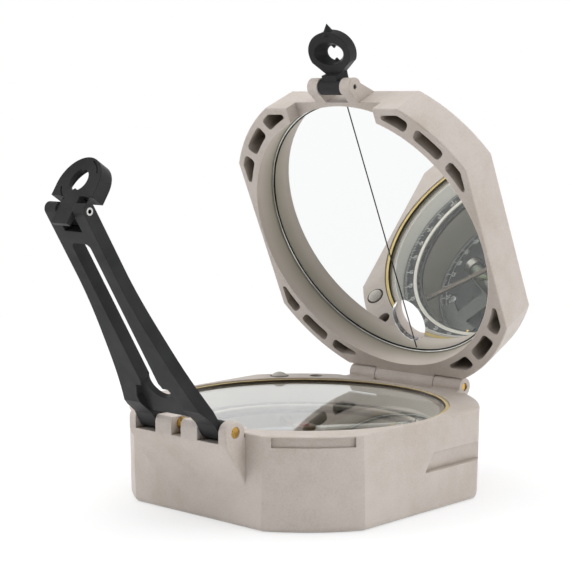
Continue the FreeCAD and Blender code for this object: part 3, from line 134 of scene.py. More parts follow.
class TransitSizes(bpy.types.PropertyGroup):
    """Sizes of the markings and the stage."""

    mark_rise: bpy.props.FloatProperty(
        name="Mark height", description="How far printed marks stand above their face",
        default=0.00002, unit="LENGTH")
    degree_mark: bpy.props.FloatProperty(
        name="Degree mark", description="Length of the marks at every degree", default=0.0008, unit="LENGTH")
    figure_height: bpy.props.FloatProperty(
        name="Figure height", description="Height of the dial figures", default=0.0012, unit="LENGTH")
    floor_radius: bpy.props.FloatProperty(
        name="Floor radius", description="Radius of the floor disc", default=4.0, unit="LENGTH")
    edge_round: bpy.props.FloatProperty(
        name="Edge softness", description="Radius over which painted edges catch the light",
        default=0.00028, unit="LENGTH")


class TransitColours(bpy.types.PropertyGroup):
    """Main colours, linear."""

    case_paint: bpy.props.FloatVectorProperty(
        name="Case", description="Stoved grey-beige of the castings", subtype="COLOR", size=3,
        default=(0.53, 0.475, 0.435))
    sight_black: bpy.props.FloatVectorProperty(
        name="Sights", description="Dark satin of the arm and sights", subtype="COLOR", size=3,
        default=(0.028, 0.028, 0.029))
    brass: bpy.props.FloatVectorProperty(
        name="Brass", description="Pins and bezel", subtype="COLOR", size=3, default=(0.82, 0.52, 0.14))
    floor: bpy.props.FloatVectorProperty(
        name="Floor", description="Pale floor", subtype="COLOR", size=3, default=(0.92, 0.92, 0.92))


def sizes():
    """The scene's size settings."""
    return bpy.context.scene.transit_sizes


def colours():
    """The scene's colour settings."""
    return bpy.context.scene.transit_colours


# ---------------------------------------------------------------- node helpers


class Graph:
    """Small helper that adds and joins the nodes of one node tree."""

    def __init__(self, tree, output):
        self.nodes = tree.nodes
        self.links = tree.links
        self.nodes.clear()
        self.output = self.add(output)

    def add(self, kind, **inputs):
        """A node with some of its inputs set by name."""
        node = self.nodes.new(kind)
        for key, value in inputs.items():
            self.join(node.inputs[key.replace("_", " ")], value)
        return node

    def join(self, socket, value):
        """Links an input to another node's output, or sets its constant."""
        if isinstance(value, bpy.types.NodeSocket):
            self.links.new(value, socket)
        elif socket.type == "RGBA":
            socket.default_value = (*value, 1)
        else:
            socket.default_value = value

    def math(self, operation, first, second=0.0):
        """One arithmetic step."""
        node = self.add("ShaderNodeMath")
        node.operation = operation
        self.join(node.inputs[0], first)
        self.join(node.inputs[1], second)
        return node.outputs[0]

    def vector(self, operation, first, second=(0.0, 0.0, 0.0)):
        """One step of vector arithmetic. Returns the node's outputs."""
        node = self.add("ShaderNodeVectorMath")
        node.operation = operation
        self.join(node.inputs[0], first)
        self.join(node.inputs[1], second)
        return node.outputs

    def spread(self, value, lo, hi, from_lo=0.3, from_hi=0.7):
        """A value carried from one range to another."""
        limits = {"From_Min": from_lo, "From_Max": from_hi, "To_Min": lo, "To_Max": hi}
        return self.add("ShaderNodeMapRange", Value=value, **limits).outputs["Result"]

    def mix_shader(self, share, first, second):
        """Two shaders mixed, 0 is the first."""
        node = self.add("ShaderNodeMixShader")
        for socket, value in zip(node.inputs, (share, first, second)):
            self.links.new(value, socket)
        return node.outputs[0]

    def finish(self, shader):
        """Joins a shader to the output."""
        self.links.new(shader, self.output.inputs["Surface"])


class Tree(Graph):
    """The nodes of one material, placed by the coordinates of its piece."""

    def __init__(self, name):
        self.material = bpy.data.materials.new(name)
        self.material.use_nodes = True
        super().__init__(self.material.node_tree, "ShaderNodeOutputMaterial")
        self.place = self.add("ShaderNodeTexCoord").outputs["Object"]
        self.axes = None

    def noise(self, scale, detail=2.0, rough=0.5):
        """Noise over the piece, scale in cycles per metre."""
        node = self.add("ShaderNodeTexNoise", Vector=self.place, Scale=scale, Detail=detail, Roughness=rough)
        return node.outputs["Fac"]

    def axis(self, index):
        """One coordinate of the point being shaded, metres."""
        if self.axes is None:
            self.axes = self.add("ShaderNodeSeparateXYZ", Vector=self.place).outputs
        return self.axes[index]

    def length(self, first, second):
        """Length of two sides of a right angle taken together."""
        square = [self.math("MULTIPLY", side, side) for side in (first, second)]
        return self.math("SQRT", self.math("ADD", *square))

    def radius(self):
        """Distance of the point from the upright axis."""
        return self.length(self.axis(0), self.axis(1))

    def off_axis(self, first, second):
        """Distance of the point from a line along the axis left out; each is (axis index, place on it)."""
        gaps = [self.math("SUBTRACT", self.axis(index), place) for index, place in (first, second)]
        return self.length(*gaps)

    def between(self, value, lo, hi):
        """1 where a value lies between two limits."""
        return self.math("MULTIPLY", self.math("GREATER_THAN", value, lo), self.math("LESS_THAN", value, hi))

    def along(self, direction):
        """Distance of the point along a direction."""
        return self.vector("DOT_PRODUCT", self.place, direction)["Value"]

    def bored(self, node, radius):
        """Whether the point is before a disc and near its axis, and its height over the face / BORE_SPAN."""
        normal, offset = front_plane(node)
        middle = (np.array(low(node)) + np.array(high(node))) / 2
        away = self.vector("SUBTRACT", self.place, middle)["Vector"]
        across = self.vector("CROSS_PRODUCT", away, normal)["Vector"]
        near = self.math("LESS_THAN", self.vector("LENGTH", across)["Value"], radius)
        height = self.math("MULTIPLY", self.math("SUBTRACT", self.along(normal), offset), 1 / BORE_SPAN)
        return self.math("MULTIPLY", near, self.math("GREATER_THAN", height, -BORE_BACK / BORE_SPAN)), height

    def blend(self, share, first, second, way="MIX"):
        """Two colours mixed, 0 is the first."""
        node = self.add("ShaderNodeMix")
        node.data_type = "RGBA"
        node.blend_type = way
        for index, value in ((0, share), (6, first), (7, second)):
            self.join(node.inputs[index], value)
        return node.outputs[2]

    def shelter(self, distance):
        """How open the surface is within a distance: 0 deep in a recess, 1 in the open."""
        node = self.add("ShaderNodeAmbientOcclusion", Distance=distance)
        node.samples = 8
        node.only_local = True
        return node.outputs["AO"]

    def ramp(self, share, stops):
        """Colour ramp from (position, colour) stops."""
        node = self.add("ShaderNodeValToRGB", Fac=share)
        elements = node.color_ramp.elements
        while len(elements) < len(stops):
            elements.new(0.5)
        for element, (position, colour) in zip(elements, stops):
            element.position = position
            element.color = (*colour, 1)
        return node.outputs["Color"]

    def bump(self, height, distance, strength, normal=None):
        """Bump from a height, distance in metres."""
        node = self.add("ShaderNodeBump", Strength=strength, Distance=distance, Height=height)
        if normal is not None:
            self.links.new(normal, node.inputs["Normal"])
        return node.outputs["Normal"]

    def soft_edges(self, radius):
        """Normals rounded over sharp edges."""
        node = self.add("ShaderNodeBevel", Radius=radius)
        node.samples = 4
        return node.outputs["Normal"]

    def finish(self, shader):
        """Joins a shader to the output and returns the material."""
        super().finish(shader)
        return self.material


def dim(colour, factor):
    """A colour made darker or lighter."""
    return tuple(min(1.0, c * factor) for c in colour)


def principled(tree, **sockets):
    """Principled shader with any named sockets. Returns its output."""
    return tree.add("ShaderNodeBsdfPrincipled", **sockets).outputs[0]


# ---------------------------------------------------------------- materials


def stoved_casting(name, zones=(), holes=(), bore=None):
    """Grey-beige stoved finish over a fine-grained casting, with painted shade where it is sheltered.

    zones are (inner radius, outer radius, lowest, highest, colour) in metres: painted turned faces inside.
    holes are (x, y, radius) in metres: dark rings round upright holes.
    bore is (node, radius): a turned wall in front of that node's flat face, painted lighter, with painted
    shade darkening it towards the face.
    """
    tree = Tree(name)
    coat = tuple(colours().case_paint)
    cloud = tree.noise(70.0, detail=5.0, rough=0.7)
    grain = tree.noise(2600.0)
    mixed = tree.math("ADD", tree.math("MULTIPLY", cloud, 0.65), tree.math("MULTIPLY", grain, 0.35))
    warm = (coat[0] * 0.88, coat[1] * 0.85, coat[2] * 0.79)
    colour = tree.ramp(mixed, [(0.34, warm), (0.5, coat), (0.66, dim(coat, 1.10))])
    # Painted shade: the coat is darkened in recesses, slots, corners and gaps between parts.
    recess = tree.ramp(tree.shelter(SHELTER), RECESS_SHADE)
    # Painted light and shade in the lid's bore: the coat is lightened, then darkened towards the mirror.
    if bore:
        inside, depth = tree.bored(*bore)
        recess = tree.blend(inside, recess, tree.ramp(depth, BORE_SHADE))
        colour = tree.blend(inside, colour, dim(coat, BORE_PAINTED_LIGHT))
    colour = tree.blend(1.0, colour, recess, "MULTIPLY")
    for inner, outer, lowest, highest, tint in zones:
        share = tree.math("MULTIPLY", tree.between(tree.radius(), inner, outer),
                          tree.between(tree.axis(2), lowest, highest))
        colour = tree.blend(share, colour, tint)
    for x, y, radius in holes:
        ring = tree.math("LESS_THAN", tree.off_axis((0, x), (1, y)), radius)
        colour = tree.blend(ring, colour, HOLE_RING_DARK)
    rough = tree.spread(tree.noise(180.0, detail=3.0), 0.42, 0.56)
    normal = tree.bump(grain, 0.00002, 0.5, tree.soft_edges(sizes().edge_round))
    return tree.finish(principled(tree, Base_Color=colour, Roughness=rough, Normal=normal,
                                  Specular_IOR_Level=0.40))


def dark_satin():
    """Near-black satin coat of the arm and the two sights, with a fine orange-peel grain."""
    tree = Tree("dark_satin")
    black = tuple(colours().sight_black)
    colour = tree.ramp(tree.noise(120.0, detail=3.0), [(0.3, dim(black, 0.80)), (0.7, dim(black, 1.25))])
    rough = tree.spread(tree.noise(400.0, detail=3.0), 0.34, 0.46)
    normal = tree.bump(tree.noise(3200.0), 0.000015, 0.6, tree.soft_edges(sizes().edge_round))
    return tree.finish(principled(tree, Base_Color=colour, Roughness=rough, Normal=normal,
                                  Specular_IOR_Level=0.09))


def metal(name, colour, rough):
    """Bare metal with faint tarnish."""
    tree = Tree(name)
    tint = tree.ramp(tree.noise(300.0, detail=4.0), [(0.3, dim(colour, 0.82)), (0.7, dim(colour, 1.08))])
    fine = tree.noise(2500.0)
    return tree.finish(principled(tree, Metallic=1.0, Base_Color=tint, Roughness=tree.spread(fine, *rough),
                                  Normal=tree.bump(fine, POLISH, 0.5)))


def bored_pin(name, node):
    """Bright steel pin along X with a dark disc painted at its ends as the shade of a centre bore."""
    tree = Tree(name)
    (_, y0, z0), (_, y1, z1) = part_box(node)
    off = tree.off_axis((1, (y0 + y1) / 2), (2, (z0 + z1) / 2))
    # Painted shade: a dark, non-metallic disc stands for the inside of the bore.
    bore = tree.math("LESS_THAN", off, PIN_BORE * (z1 - z0))
    fine = tree.noise(2500.0)
    steel = tree.ramp(fine, [(0.3, (0.55, 0.55, 0.54)), (0.7, (0.74, 0.74, 0.73))])
    return tree.finish(principled(tree, Base_Color=tree.blend(bore, steel, (0.012, 0.011, 0.010)),
                                  Roughness=tree.spread(fine, 0.2, 0.34), Normal=tree.bump(fine, POLISH, 0.5),
                                  Metallic=tree.math("SUBTRACT", 1.0, bore)))


def clear(name, tint=(1.0, 1.0, 1.0), ior=1.5, shadow=0.92):
    """Clear glass that lets light through to what lies under it."""
    tree = Tree(name)
    glass = principled(tree, Base_Color=tint, Roughness=0.0, IOR=ior, Transmission_Weight=1.0)
    through = tree.add("ShaderNodeBsdfTransparent", Color=dim(tint, shadow)).outputs[0]
    path = tree.add("ShaderNodeLightPath").outputs
    blocked = tree.math("MAXIMUM", path["Is Shadow Ray"], path["Is Diffuse Ray"])
    return tree.finish(tree.mix_shader(blocked, glass, through))


def matt(name, colour, rough=(0.55, 0.75), scale=1500.0, contrast=0.25, height=0.00002):
    """Matt coat or rubber with fine grain."""
    tree = Tree(name)
    grain = tree.noise(scale, detail=4.0, rough=0.65)
    tint = tree.ramp(grain, [(0.3, dim(colour, 1 - contrast)), (0.7, dim(colour, 1 + contrast))])
    return tree.finish(principled(tree, Base_Color=tint, Roughness=tree.spread(grain, *rough),
                                  Normal=tree.bump(grain, height, 0.6)))


def print_ink(name, colour, contrast=0.05):
    """Smooth paint of the printed marks."""
    return matt(name, colour, (0.45, 0.6), contrast=contrast, height=0.000002)


def mirror_silver():
    """Front-silvered mirror with a faint waviness, dark ground glass on its edge and round the window."""
    tree = Tree("mirror_silver")
    normal, offset = front_plane("mirror_glass")
    silvered = tree.math("GREATER_THAN", tree.along(normal), offset - SILVER)
    colour = tree.blend(silvered, (0.035, 0.034, 0.030), (0.93, 0.945, 0.94))
    rough = tree.spread(tree.noise(60.0), 0.0, 0.012)
    return tree.finish(principled(tree, Base_Color=colour, Roughness=rough, Metallic=silvered))


def bezel_brass():
    """Lacquered brass ring, with painted shade in the groove round it and on the slope towards the glass."""
    tree = Tree("bezel_brass")
    cloud = tree.noise(300.0, detail=4.0)
    gold = tree.ramp(cloud, [(0.3, dim(BEZEL_GOLD, 0.85)), (0.7, dim(BEZEL_GOLD, 1.06))])
    # Painted shade: only the flat is gold; the groove and the slope are painted dark.
    flat = tree.between(tree.radius(), BEZEL_OUT - BEZEL_FLAT, BEZEL_OUT - BEZEL_GROOVE)
    return tree.finish(principled(tree, Metallic=0.3, Base_Color=tree.blend(flat, (0.05, 0.035, 0.02), gold),
                                  Roughness=tree.spread(cloud, 0.12, 0.24),
                                  Normal=tree.bump(cloud, POLISH, 0.5)))


def seal_rubber():
    """Seal under the compass glass: painted shade on the outer edge under the bezel, pale inside."""
    tree = Tree("seal_rubber")
    # Painted shade: the seal is painted dark where the bezel covers it.
    under_bezel_shade = tree.math("GREATER_THAN", tree.radius(), reach("glass_gasket") - SEAL_SHADED_EDGE)
    grain = tree.noise(1500.0, detail=3.0)
    pale = tree.ramp(grain, [(0.3, (0.33, 0.31, 0.27)), (0.7, (0.40, 0.375, 0.33))])
    return tree.finish(principled(tree, Base_Color=tree.blend(under_bezel_shade, pale, (0.02, 0.018, 0.015)),
                                  Roughness=tree.spread(grain, 0.4, 0.6),
                                  Normal=tree.bump(grain, 0.00001, 0.5)))


def paint(material, *nodes):
    """Gives some CAD nodes one material."""
    for node in nodes:
        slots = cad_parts[node].data.materials
        slots.clear()
        slots.append(material)


# ---------------------------------------------------------------- mesh helpers


def new_piece(name, points, faces, material, body, slot):
    """A mesh object riding on a body."""
    mesh = bpy.data.meshes.new(name)
    mesh.from_pydata(np.asarray(points).tolist(), [], [list(f) for f in faces])
    mesh.validate()
    mesh.update()
    mesh.materials.append(material)
    piece = bpy.data.objects.new(name, mesh)
    bpy.context.scene.collection.objects.link(piece)
    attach(piece, body)
    return piece


def by_rank(number, tens, fives, rest):
    """A value for each number: multiples of ten, of five, and the rest."""
    return np.where(number % 10 == 0, tens, np.where(number % 5 == 0, fives, rest))


BOX_FACES = np.array([[0, 3, 2, 1], [4, 5, 6, 7], [0, 1, 5, 4], [1, 2, 6, 5], [2, 3, 7, 6], [3, 0, 4, 7]])


def radial_marks(angles, inner, outer, width, base, rise):
    """Thin radial bars, turned by their angles, from base to base + rise.

    angles, inner, outer and width are arrays of one length. Returns points and faces of all the bars.
    """
    angles, inner, outer, width = np.broadcast_arrays(*map(np.asarray, (angles, inner, outer, width)))
    along = np.stack([inner, outer, outer, inner], axis=1)
    across = np.stack([-width, -width, width, width], axis=1) / 2
    cos, sin = np.cos(angles)[:, None], np.sin(angles)[:, None]
    x = along * cos - across * sin
    y = along * sin + across * cos
    lower = np.stack([x, y, np.full_like(x, base)], axis=2)
    upper = lower + np.array([0, 0, rise])
    points = np.concatenate([lower, upper], axis=1).reshape(-1, 3)
    faces = (BOX_FACES[None] + 8 * np.arange(len(angles))[:, None, None]).reshape(-1, 4)
    return points, faces


def arc_band(start, end, inner, outer, base, rise):
    """Flat arc band: the rectangle (inner..outer, base..base + rise) carried from start to end angle."""
    steps = 96
    t = np.linspace(start, end, steps)
    ring = np.array([[inner, base], [outer, base], [outer, base + rise], [inner, base + rise]])
    r, z = ring[:, 0][None], ring[:, 1][None]
    points = np.stack([r * np.cos(t)[:, None], r * np.sin(t)[:, None], z + 0 * t[:, None]], axis=2)
    k = np.arange(steps - 1)[:, None, None]
    side = np.array([[[0, 1, 5, 4], [1, 2, 6, 5], [2, 3, 7, 6], [3, 0, 4, 7]]])
    faces = (side + 4 * k).reshape(-1, 4).tolist()
    faces += [[3, 2, 1, 0], [4 * steps - 4, 4 * steps - 3, 4 * steps - 2, 4 * steps - 1]]
    return points.reshape(-1, 3), faces


def figure_mesh(text, height):
    """Points and faces of one line of figures, centred on the origin in XY."""
    curve = bpy.data.curves.new("figure", "FONT")
    curve.body = text
    curve.size = height / CAPITAL
    curve.align_x = "CENTER"
    curve.align_y = "CENTER"
    curve.extrude = 0
    curve.resolution_u = 3
    holder = bpy.data.objects.new("figure", curve)
    mesh = bpy.data.meshes.new_from_object(holder)
    points = np.empty(len(mesh.vertices) * 3)
    mesh.vertices.foreach_get("co", points)
    faces = [tuple(p.vertices) for p in mesh.polygons]
    bpy.data.objects.remove(holder)
    bpy.data.curves.remove(curve)
    bpy.data.meshes.remove(mesh)
    return points.reshape(-1, 3), faces


def figures_round(labels, radius, height, level):
    """Labels placed round a circle, tops outwards: each is turned by its angle and moved out."""
    parts = []
    for text, angle in labels:
        flat, faces = figure_mesh(text, height)
        turn = angle - math.pi / 2
        x = flat[:, 0] * math.cos(turn) - flat[:, 1] * math.sin(turn) + radius * math.cos(angle)
        y = flat[:, 0] * math.sin(turn) + flat[:, 1] * math.cos(turn) + radius * math.sin(angle)
        parts.append((np.stack([x, y, np.full_like(x, level)], axis=1), faces))
    return joined(parts)


def joined(parts):
    """Several (points, faces) as one."""
    points = []
    faces = []
    count = 0
    for some_points, some_faces in parts:
        points.append(np.asarray(some_points))
        faces += [[int(v) + count for v in face] for face in some_faces]
        count += len(some_points)
    return np.concatenate(points), faces


# ---------------------------------------------------------------- operators


class TRANSIT_OT_castings(bpy.types.Operator):
    """Finish the case, the lid and their pins."""

    bl_idname = "transit.castings"
    bl_label = "Case and lid"

    def execute(self, context):
        """Paint the castings and the trim on them."""
        paint(stoved_casting("lid_casting", bore=("mirror_glass", LID_BORE + BORE_EDGE)), "lid_shell")
        # The channel wall's pale paint is raised brighter as painted light, standing in for light through the
        # glass.
        turned = ((PLATE_OUT + 1.6 * MM, CHANNEL_OUT, 12 * MM, SEAL_TOP, CHANNEL_PALE),
                  # Painted shade: the collar's band is painted dark where it lies in shadow.
                  (PLATE_OUT + 0.15 * MM, PLATE_OUT + 1.4 * MM, 11 * MM, COLLAR_TOP, COLLAR_PAINTED_SHADE),
                  (4 * MM, PLATE_OUT + 0.4 * MM, 2.5 * MM, 12.9 * MM, WELL_GREY))
        (x0, y0, _), (x1, y1, _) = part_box("brake_button")
        button_hole = ((x0 + x1) / 2, (y0 + y1) / 2, (x1 - x0) / 2 + BUTTON_RING_WIDTH)
        paint(stoved_casting("case_casting", turned, [button_hole]), "case_body", "case_floor")
        paint(metal("pin_brass", tuple(colours().brass), (0.22, 0.38)), "arm_hinge_pin", "lid_hinge_pin",
              "hub_bush", "pinion_bush", "adjusting_pinion", "index_pin")
        paint(metal("pin_steel", (0.55, 0.55, 0.56), (0.22, 0.36)), "brake_pin", "lever_screw")
        paint(bored_pin("leaf_pin_steel", "leaf_pin"), "leaf_pin")
        paint(metal("sight_pin_dark", (0.07, 0.065, 0.06), (0.3, 0.5)), "sight_pin")
        paint(matt("lever_bronze", (0.11, 0.08, 0.055), (0.35, 0.5)), "brake_lever")
        paint(matt("button_nickel", (0.50, 0.47, 0.43), (0.32, 0.45), contrast=0.08), "brake_button")
        return {"FINISHED"}


class TRANSIT_OT_sights(bpy.types.Operator):
    """Finish the sighting arm, the peep leaf and the small sight."""

    bl_idname = "transit.sights"
    bl_label = "Sights"

    def execute(self, context):
        """Paint the three dark pieces."""
        paint(dark_satin(), "sight_arm", "peep_leaf", "small_sight")
        return {"FINISHED"}


class TRANSIT_OT_mirror(bpy.types.Operator):
    """Finish the mirror, its gasket, the window pane and the sight line."""

    bl_idname = "transit.mirror"
    bl_label = "Mirror"

    def execute(self, context):
        """Paint the pieces in the lid."""
        paint(mirror_silver(), "mirror_glass")
        paint(matt("mirror_gasket_black", (0.012, 0.013, 0.012), (0.25, 0.4)), "mirror_gasket")
        paint(clear("window_pane", ior=1.06), "mirror_window")
        paint(metal("clip_steel", (0.86, 0.87, 0.85), (0.10, 0.2)), "mirror_clip")
        paint(matt("line_black", (0.006, 0.006, 0.006), (0.3, 0.5)), "sight_line")
        return {"FINISHED"}


class TRANSIT_OT_glazing(bpy.types.Operator):
    """Finish the compass glass, its gasket and the bezel."""

    bl_idname = "transit.glazing"
    bl_label = "Glass and bezel"

    def execute(self, context):
        """Paint the glazing."""
        paint(clear("compass_glass", (0.98, 0.99, 0.98), shadow=1.0), "glass_crystal")
        paint(seal_rubber(), "glass_gasket")
        paint(bezel_brass(), "bezel_ring")
        return {"FINISHED"}


class TRANSIT_OT_dial(bpy.types.Operator):
    """Finish the turning dial and add its graduations and figures."""

    bl_idname = "transit.dial"
    bl_label = "Dial"

    def execute(self, context):
        """Paint the dial and lay its marks on it."""
        paint(metal("dial_carrier", (0.60, 0.58, 0.54), (0.3, 0.45)), "dial_gear")
        paint(matt("trim_pale", (0.78, 0.73, 0.66), (0.35, 0.5), contrast=0.08), "dial_trim")
        paint(matt("dial_black", (0.014, 0.014, 0.015), (0.45, 0.6), contrast=0.3), "dial_ring")
        white = print_ink("dial_white", (0.72, 0.72, 0.70))
        s = sizes()
        degree = np.arange(360)
        length = by_rank(degree, 2.0, 1.5, 1.0) * s.degree_mark
        width = by_rank(degree, 0.24, 0.16, 0.16) * MM
        outer = DIAL_OUT - 0.12 * MM
        marks = radial_marks(np.radians(degree), outer - length, outer, width, DIAL_TOP, s.mark_rise)
        new_piece("dial_marks", *marks, white, "dial", "needle_white")
        labels = [(str(d), math.radians(90 + d)) for d in range(0, 360, 10)]
        radius = TRIM_OUT + 0.12 * MM + s.figure_height / 2
        figures = figures_round(labels, radius, s.figure_height * 0.9, DIAL_TOP + s.mark_rise)
        new_piece("dial_figures", *figures, white, "dial", "needle_white")
        return {"FINISHED"}


class TRANSIT_OT_floor_plate(bpy.types.Operator):
    """Finish the plate in the well and its screws, and add the clinometer scale."""

    bl_idname = "transit.floor_plate"
    bl_label = "Well plate"

    def execute(self, context):
        """Paint the plate and lay its scale on it."""
        plate = matt("plate_black", (0.026, 0.028, 0.027), (0.45, 0.7), scale=700.0, contrast=0.9)
        paint(plate, "scale_plate")
        paint(metal("screw_steel", (0.62, 0.62, 0.63), (0.18, 0.3)), "plate_screw_1", "plate_screw_2",
              "plate_screw_3", "bracket_screw_1", "bracket_screw_2")
        white = print_ink("plate_white", (0.70, 0.70, 0.68))
        rise = sizes().mark_rise
        degree = np.arange(-90, 91)
        length = by_rank(degree, 1.8, 1.3, 0.9) * MM
        width = by_rank(degree, 0.18, 0.11, 0.11) * MM
        outer = PLATE_OUT - MARK_EDGE
        turn = np.radians(degree) + LEVEL_TURN
        scale = radial_marks(turn, outer - length, outer, width, PLATE_TOP, rise)
        band = arc_band(turn[0], turn[-1], outer - 2.1 * MM, outer - 2.0 * MM, PLATE_TOP, rise)
        labels = [(str(abs(d)), math.radians(d) + LEVEL_TURN) for d in range(-90, 91, 10)]
        figures = figures_round(labels, outer - 2.9 * MM, 1.2 * MM, PLATE_TOP + rise)
        new_piece("plate_scale", *joined([scale, band, figures]), white, "case", "needle_white")
        return {"FINISHED"}


class TRANSIT_OT_levels(bpy.types.Operator):
    """Finish the level bracket, both levels and the outside lever."""

    bl_idname = "transit.levels"
    bl_label = "Levels"

    def execute(self, context):
        """Paint the clinometer's pieces and add the vernier."""
        alloy = matt("bracket_alloy", (0.085, 0.092, 0.08), (0.3, 0.45), scale=900.0, contrast=0.3)
        paint(alloy, "level_bracket", "outside_lever")
        nickel = metal("level_nickel", (0.36, 0.345, 0.31), (0.24, 0.4))
        paint(nickel, "tube_cap_a", "tube_cap_b", "round_cup", "clino_hub")
        paint(metal("pivot_steel", (0.6, 0.6, 0.62), (0.12, 0.22)), "needle_pivot")
        for node in ("tube_vial", "round_glass"):
            paint(clear(node + "_glass"), node)
        for node in ("tube_spirit", "round_spirit"):
            paint(clear(node + "_liquid", (0.78, 0.95, 0.35), 1.36, 0.85), node)
        for node in ("tube_bubble", "round_bubble"):
            paint(clear(node + "_air", ior=1.05), node)
        black = print_ink("vernier_black", (0.01, 0.01, 0.01), 0.1)
        step = np.arange(-15, 16)
        outer = VERNIER_OUT - MARK_EDGE
        length = by_rank(step, 1.4, 1.4, 0.8) * MM
        turn = np.radians(step) + LEVEL_TURN
        lines = radial_marks(turn, outer - length, outer, 0.12 * MM, BRACKET_TOP, sizes().mark_rise)
        new_piece("vernier_marks", *lines, black, "clinometer", "line_black")
        return {"FINISHED"}


class TRANSIT_OT_needle(bpy.types.Operator):
    """Finish the needle."""

    bl_idname = "transit.needle"
    bl_label = "Needle"

    def execute(self, context):
        """Paint the needle's pieces."""
        paint(matt("needle_white", (0.80, 0.80, 0.77), (0.25, 0.35), contrast=0.04), "needle_north")
        paint(metal("needle_steel", (0.30, 0.33, 0.42), (0.15, 0.25)), "needle_south")
        paint(metal("cap_bronze", (0.40, 0.32, 0.20), (0.2, 0.3)), "needle_cap")
        paint(metal("weight_brass", (0.72, 0.46, 0.20), (0.25, 0.35)), "needle_weight")
        paint(matt("jewel_red", (0.30, 0.02, 0.04), (0.05, 0.12), contrast=0.2), "needle_jewel")
        return {"FINISHED"}


def background_share(graph, camera, other):
    """1 where the background should show plain, from the kind of ray that looks at it."""
    path = graph.add("ShaderNodeLightPath").outputs
    seen = graph.math("MULTIPLY", path["Is Camera Ray"], camera)
    shiny = graph.math("MAXIMUM", path["Is Glossy Ray"], path["Is Transmission Ray"])
    return graph.math("MAXIMUM", seen, graph.math("MULTIPLY", shiny, other))


class TRANSIT_OT_stage(bpy.types.Operator):
    """Lay the floor, set the world and hang the lamps."""

    bl_idname = "transit.stage"
    bl_label = "Stage"

    room_light: bpy.props.FloatProperty(
        name="Room light", description="Strength of the room's even light", default=0.42)
    open_front: bpy.props.FloatProperty(
        name="Open front", description="How much darker the room is in front of the object", default=0.7)
    ceiling: bpy.props.FloatProperty(
        name="Ceiling", description="How bright polished faces see the ceiling", default=0.2)

    def execute(self, context):
        """Build the stage."""
        self.floor()
        self.room()
        self.lamps()
        return {"FINISHED"}

    def floor(self):
        """Round floor, plain near the object and fading to the background further out."""
        radius = sizes().floor_radius
        turn = np.linspace(0, TAU, FLOOR_SIDES, endpoint=False)
        level = np.full(FLOOR_SIDES, -FLOOR_DROP)
        points = np.stack([radius * np.cos(turn), radius * np.sin(turn), level], axis=1)
        mesh = bpy.data.meshes.new("floor")
        mesh.from_pydata(points.tolist(), [], [list(range(FLOOR_SIDES))])
        floor = bpy.data.objects.new("floor", mesh)
        bpy.context.scene.collection.objects.link(floor)
        tree = Tree("floor_pale")
        matt_floor = tree.add("ShaderNodeBsdfDiffuse", Color=tuple(colours().floor)).outputs[0]
        plain = tree.add("ShaderNodeEmission").outputs[0]
        far = tree.spread(tree.vector("LENGTH", tree.place)["Value"], 0.62, 1.0, 0.10, 0.35)
        share = background_share(tree, far, 0.9)
        mesh.materials.append(tree.finish(tree.mix_shader(share, matt_floor, plain)))

    def room(self):
        """Even room light with a white background for the camera, metal and glass."""
        world = bpy.data.worlds.new("room")
        world.use_nodes = True
        graph = Graph(world.node_tree, "ShaderNodeOutputWorld")
        way = graph.add("ShaderNodeTexCoord").outputs["Generated"]
        front = graph.vector("DOT_PRODUCT", way, OPEN_SIDE)["Value"]
        open_side = graph.spread(front, 1.0, 1.0 - self.open_front, 0.25, 0.75)
        height = graph.vector("DOT_PRODUCT", way, (0.0, 0.0, 1.0))["Value"]
        ceiling = graph.spread(height, 1.0, self.ceiling, 0.3, 0.62)
        glossy = graph.add("ShaderNodeLightPath").outputs["Is Glossy Ray"]
        shine = graph.math("MAXIMUM", graph.math("SUBTRACT", 1.0, glossy),
                           graph.math("MULTIPLY", open_side, ceiling))
        level = graph.math("MULTIPLY", open_side, self.room_light)
        room, plain = [graph.add("ShaderNodeBackground", Color=WHITE, Strength=strength).outputs[0]
                       for strength in (level, shine)]
        graph.finish(graph.mix_shader(background_share(graph, 1.0, 1.0), room, plain))
        bpy.context.scene.world = world

    def lamps(self):
        """Three soft lamps: one at each side and a larger one overhead. Polished faces don't see them."""
        for name, place, size, power in LAMPS:
            light = bpy.data.lights.new(name, "AREA")
            light.shape = "DISK"
            light.size = size
            light.energy = power
            lamp = bpy.data.objects.new(name, light)
            lamp.location = place
            lamp.rotation_euler = (LAMP_AIM - Vector(place)).to_track_quat("-Z", "Y").to_euler()
            lamp.visible_glossy = False
            bpy.context.scene.collection.objects.link(lamp)


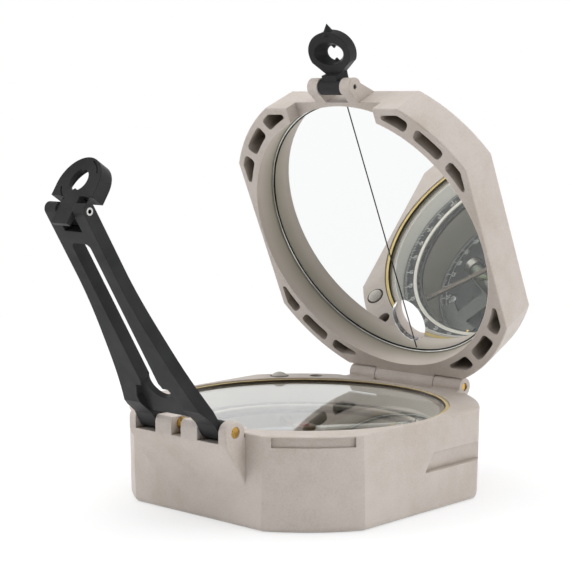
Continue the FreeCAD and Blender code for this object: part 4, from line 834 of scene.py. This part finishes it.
class TRANSIT_OT_camera(bpy.types.Operator):
    """Set the camera up in front of the open instrument."""

    bl_idname = "transit.camera"
    bl_label = "Camera"

    azimuth: bpy.props.FloatProperty(name="Azimuth", description="Round the object", default=42.798)
    elevation: bpy.props.FloatProperty(name="Elevation", description="Above the horizon", default=6.424)
    roll: bpy.props.FloatProperty(name="Roll", description="Turn about the line of view", default=0.062)
    distance: bpy.props.FloatProperty(
        name="Distance", description="From the point looked at", default=0.39361, unit="LENGTH")
    lens: bpy.props.FloatProperty(name="Lens", description="Focal length, millimetres", default=103.21)

    def execute(self, context):
        """Make the camera and make it the scene's own."""
        turn, tilt = math.radians(self.azimuth), math.radians(self.elevation)
        back = Vector((math.sin(turn) * math.cos(tilt), -math.cos(turn) * math.cos(tilt), math.sin(tilt)))
        data = bpy.data.cameras.new("camera")
        data.sensor_width = 36.0
        data.lens = self.lens
        data.clip_start = 0.01
        data.clip_end = 20.0
        camera = bpy.data.objects.new("camera", data)
        camera.location = CAMERA_AIM + back * self.distance
        facing = (-back).to_track_quat("-Z", "Y").to_matrix().to_4x4()
        turned = facing @ Matrix.Rotation(math.radians(self.roll), 4, "Z")
        camera.rotation_euler = turned.to_euler()
        context.scene.collection.objects.link(camera)
        context.scene.camera = camera
        context.scene.view_settings.view_transform = "Standard"
        return {"FINISHED"}


OPERATORS = (TRANSIT_OT_camera, TRANSIT_OT_castings, TRANSIT_OT_sights, TRANSIT_OT_mirror, TRANSIT_OT_glazing,
             TRANSIT_OT_dial, TRANSIT_OT_floor_plate, TRANSIT_OT_levels, TRANSIT_OT_needle, TRANSIT_OT_stage)


class TRANSIT_PT_panel(bpy.types.Panel):
    """Sidebar panel with every step."""

    bl_idname = "TRANSIT_PT_panel"
    bl_label = "Pocket transit"
    bl_space_type = "VIEW_3D"
    bl_region_type = "UI"
    bl_category = "Transit"

    def draw(self, context):
        """List the settings and the operators."""
        for group in (context.scene.transit_sizes, context.scene.transit_colours):
            for key in type(group).__annotations__:
                self.layout.prop(group, key)
        for operator in OPERATORS:
            self.layout.operator(operator.bl_idname)


CLASSES = (TransitSizes, TransitColours, *OPERATORS, TRANSIT_PT_panel)


def register():
    """Register the classes and the settings."""
    for cls in CLASSES:
        bpy.utils.register_class(cls)
    bpy.types.Scene.transit_sizes = bpy.props.PointerProperty(type=TransitSizes)
    bpy.types.Scene.transit_colours = bpy.props.PointerProperty(type=TransitColours)


def unregister():
    """Take the settings and the classes away again."""
    del bpy.types.Scene.transit_colours
    del bpy.types.Scene.transit_sizes
    for cls in reversed(CLASSES):
        bpy.utils.unregister_class(cls)


def main():
    """Run every step in order."""
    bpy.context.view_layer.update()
    register()
    for operator in OPERATORS:
        area, name = operator.bl_idname.split(".")
        getattr(getattr(bpy.ops, area), name)()


if __name__ == "__main__":
    main()
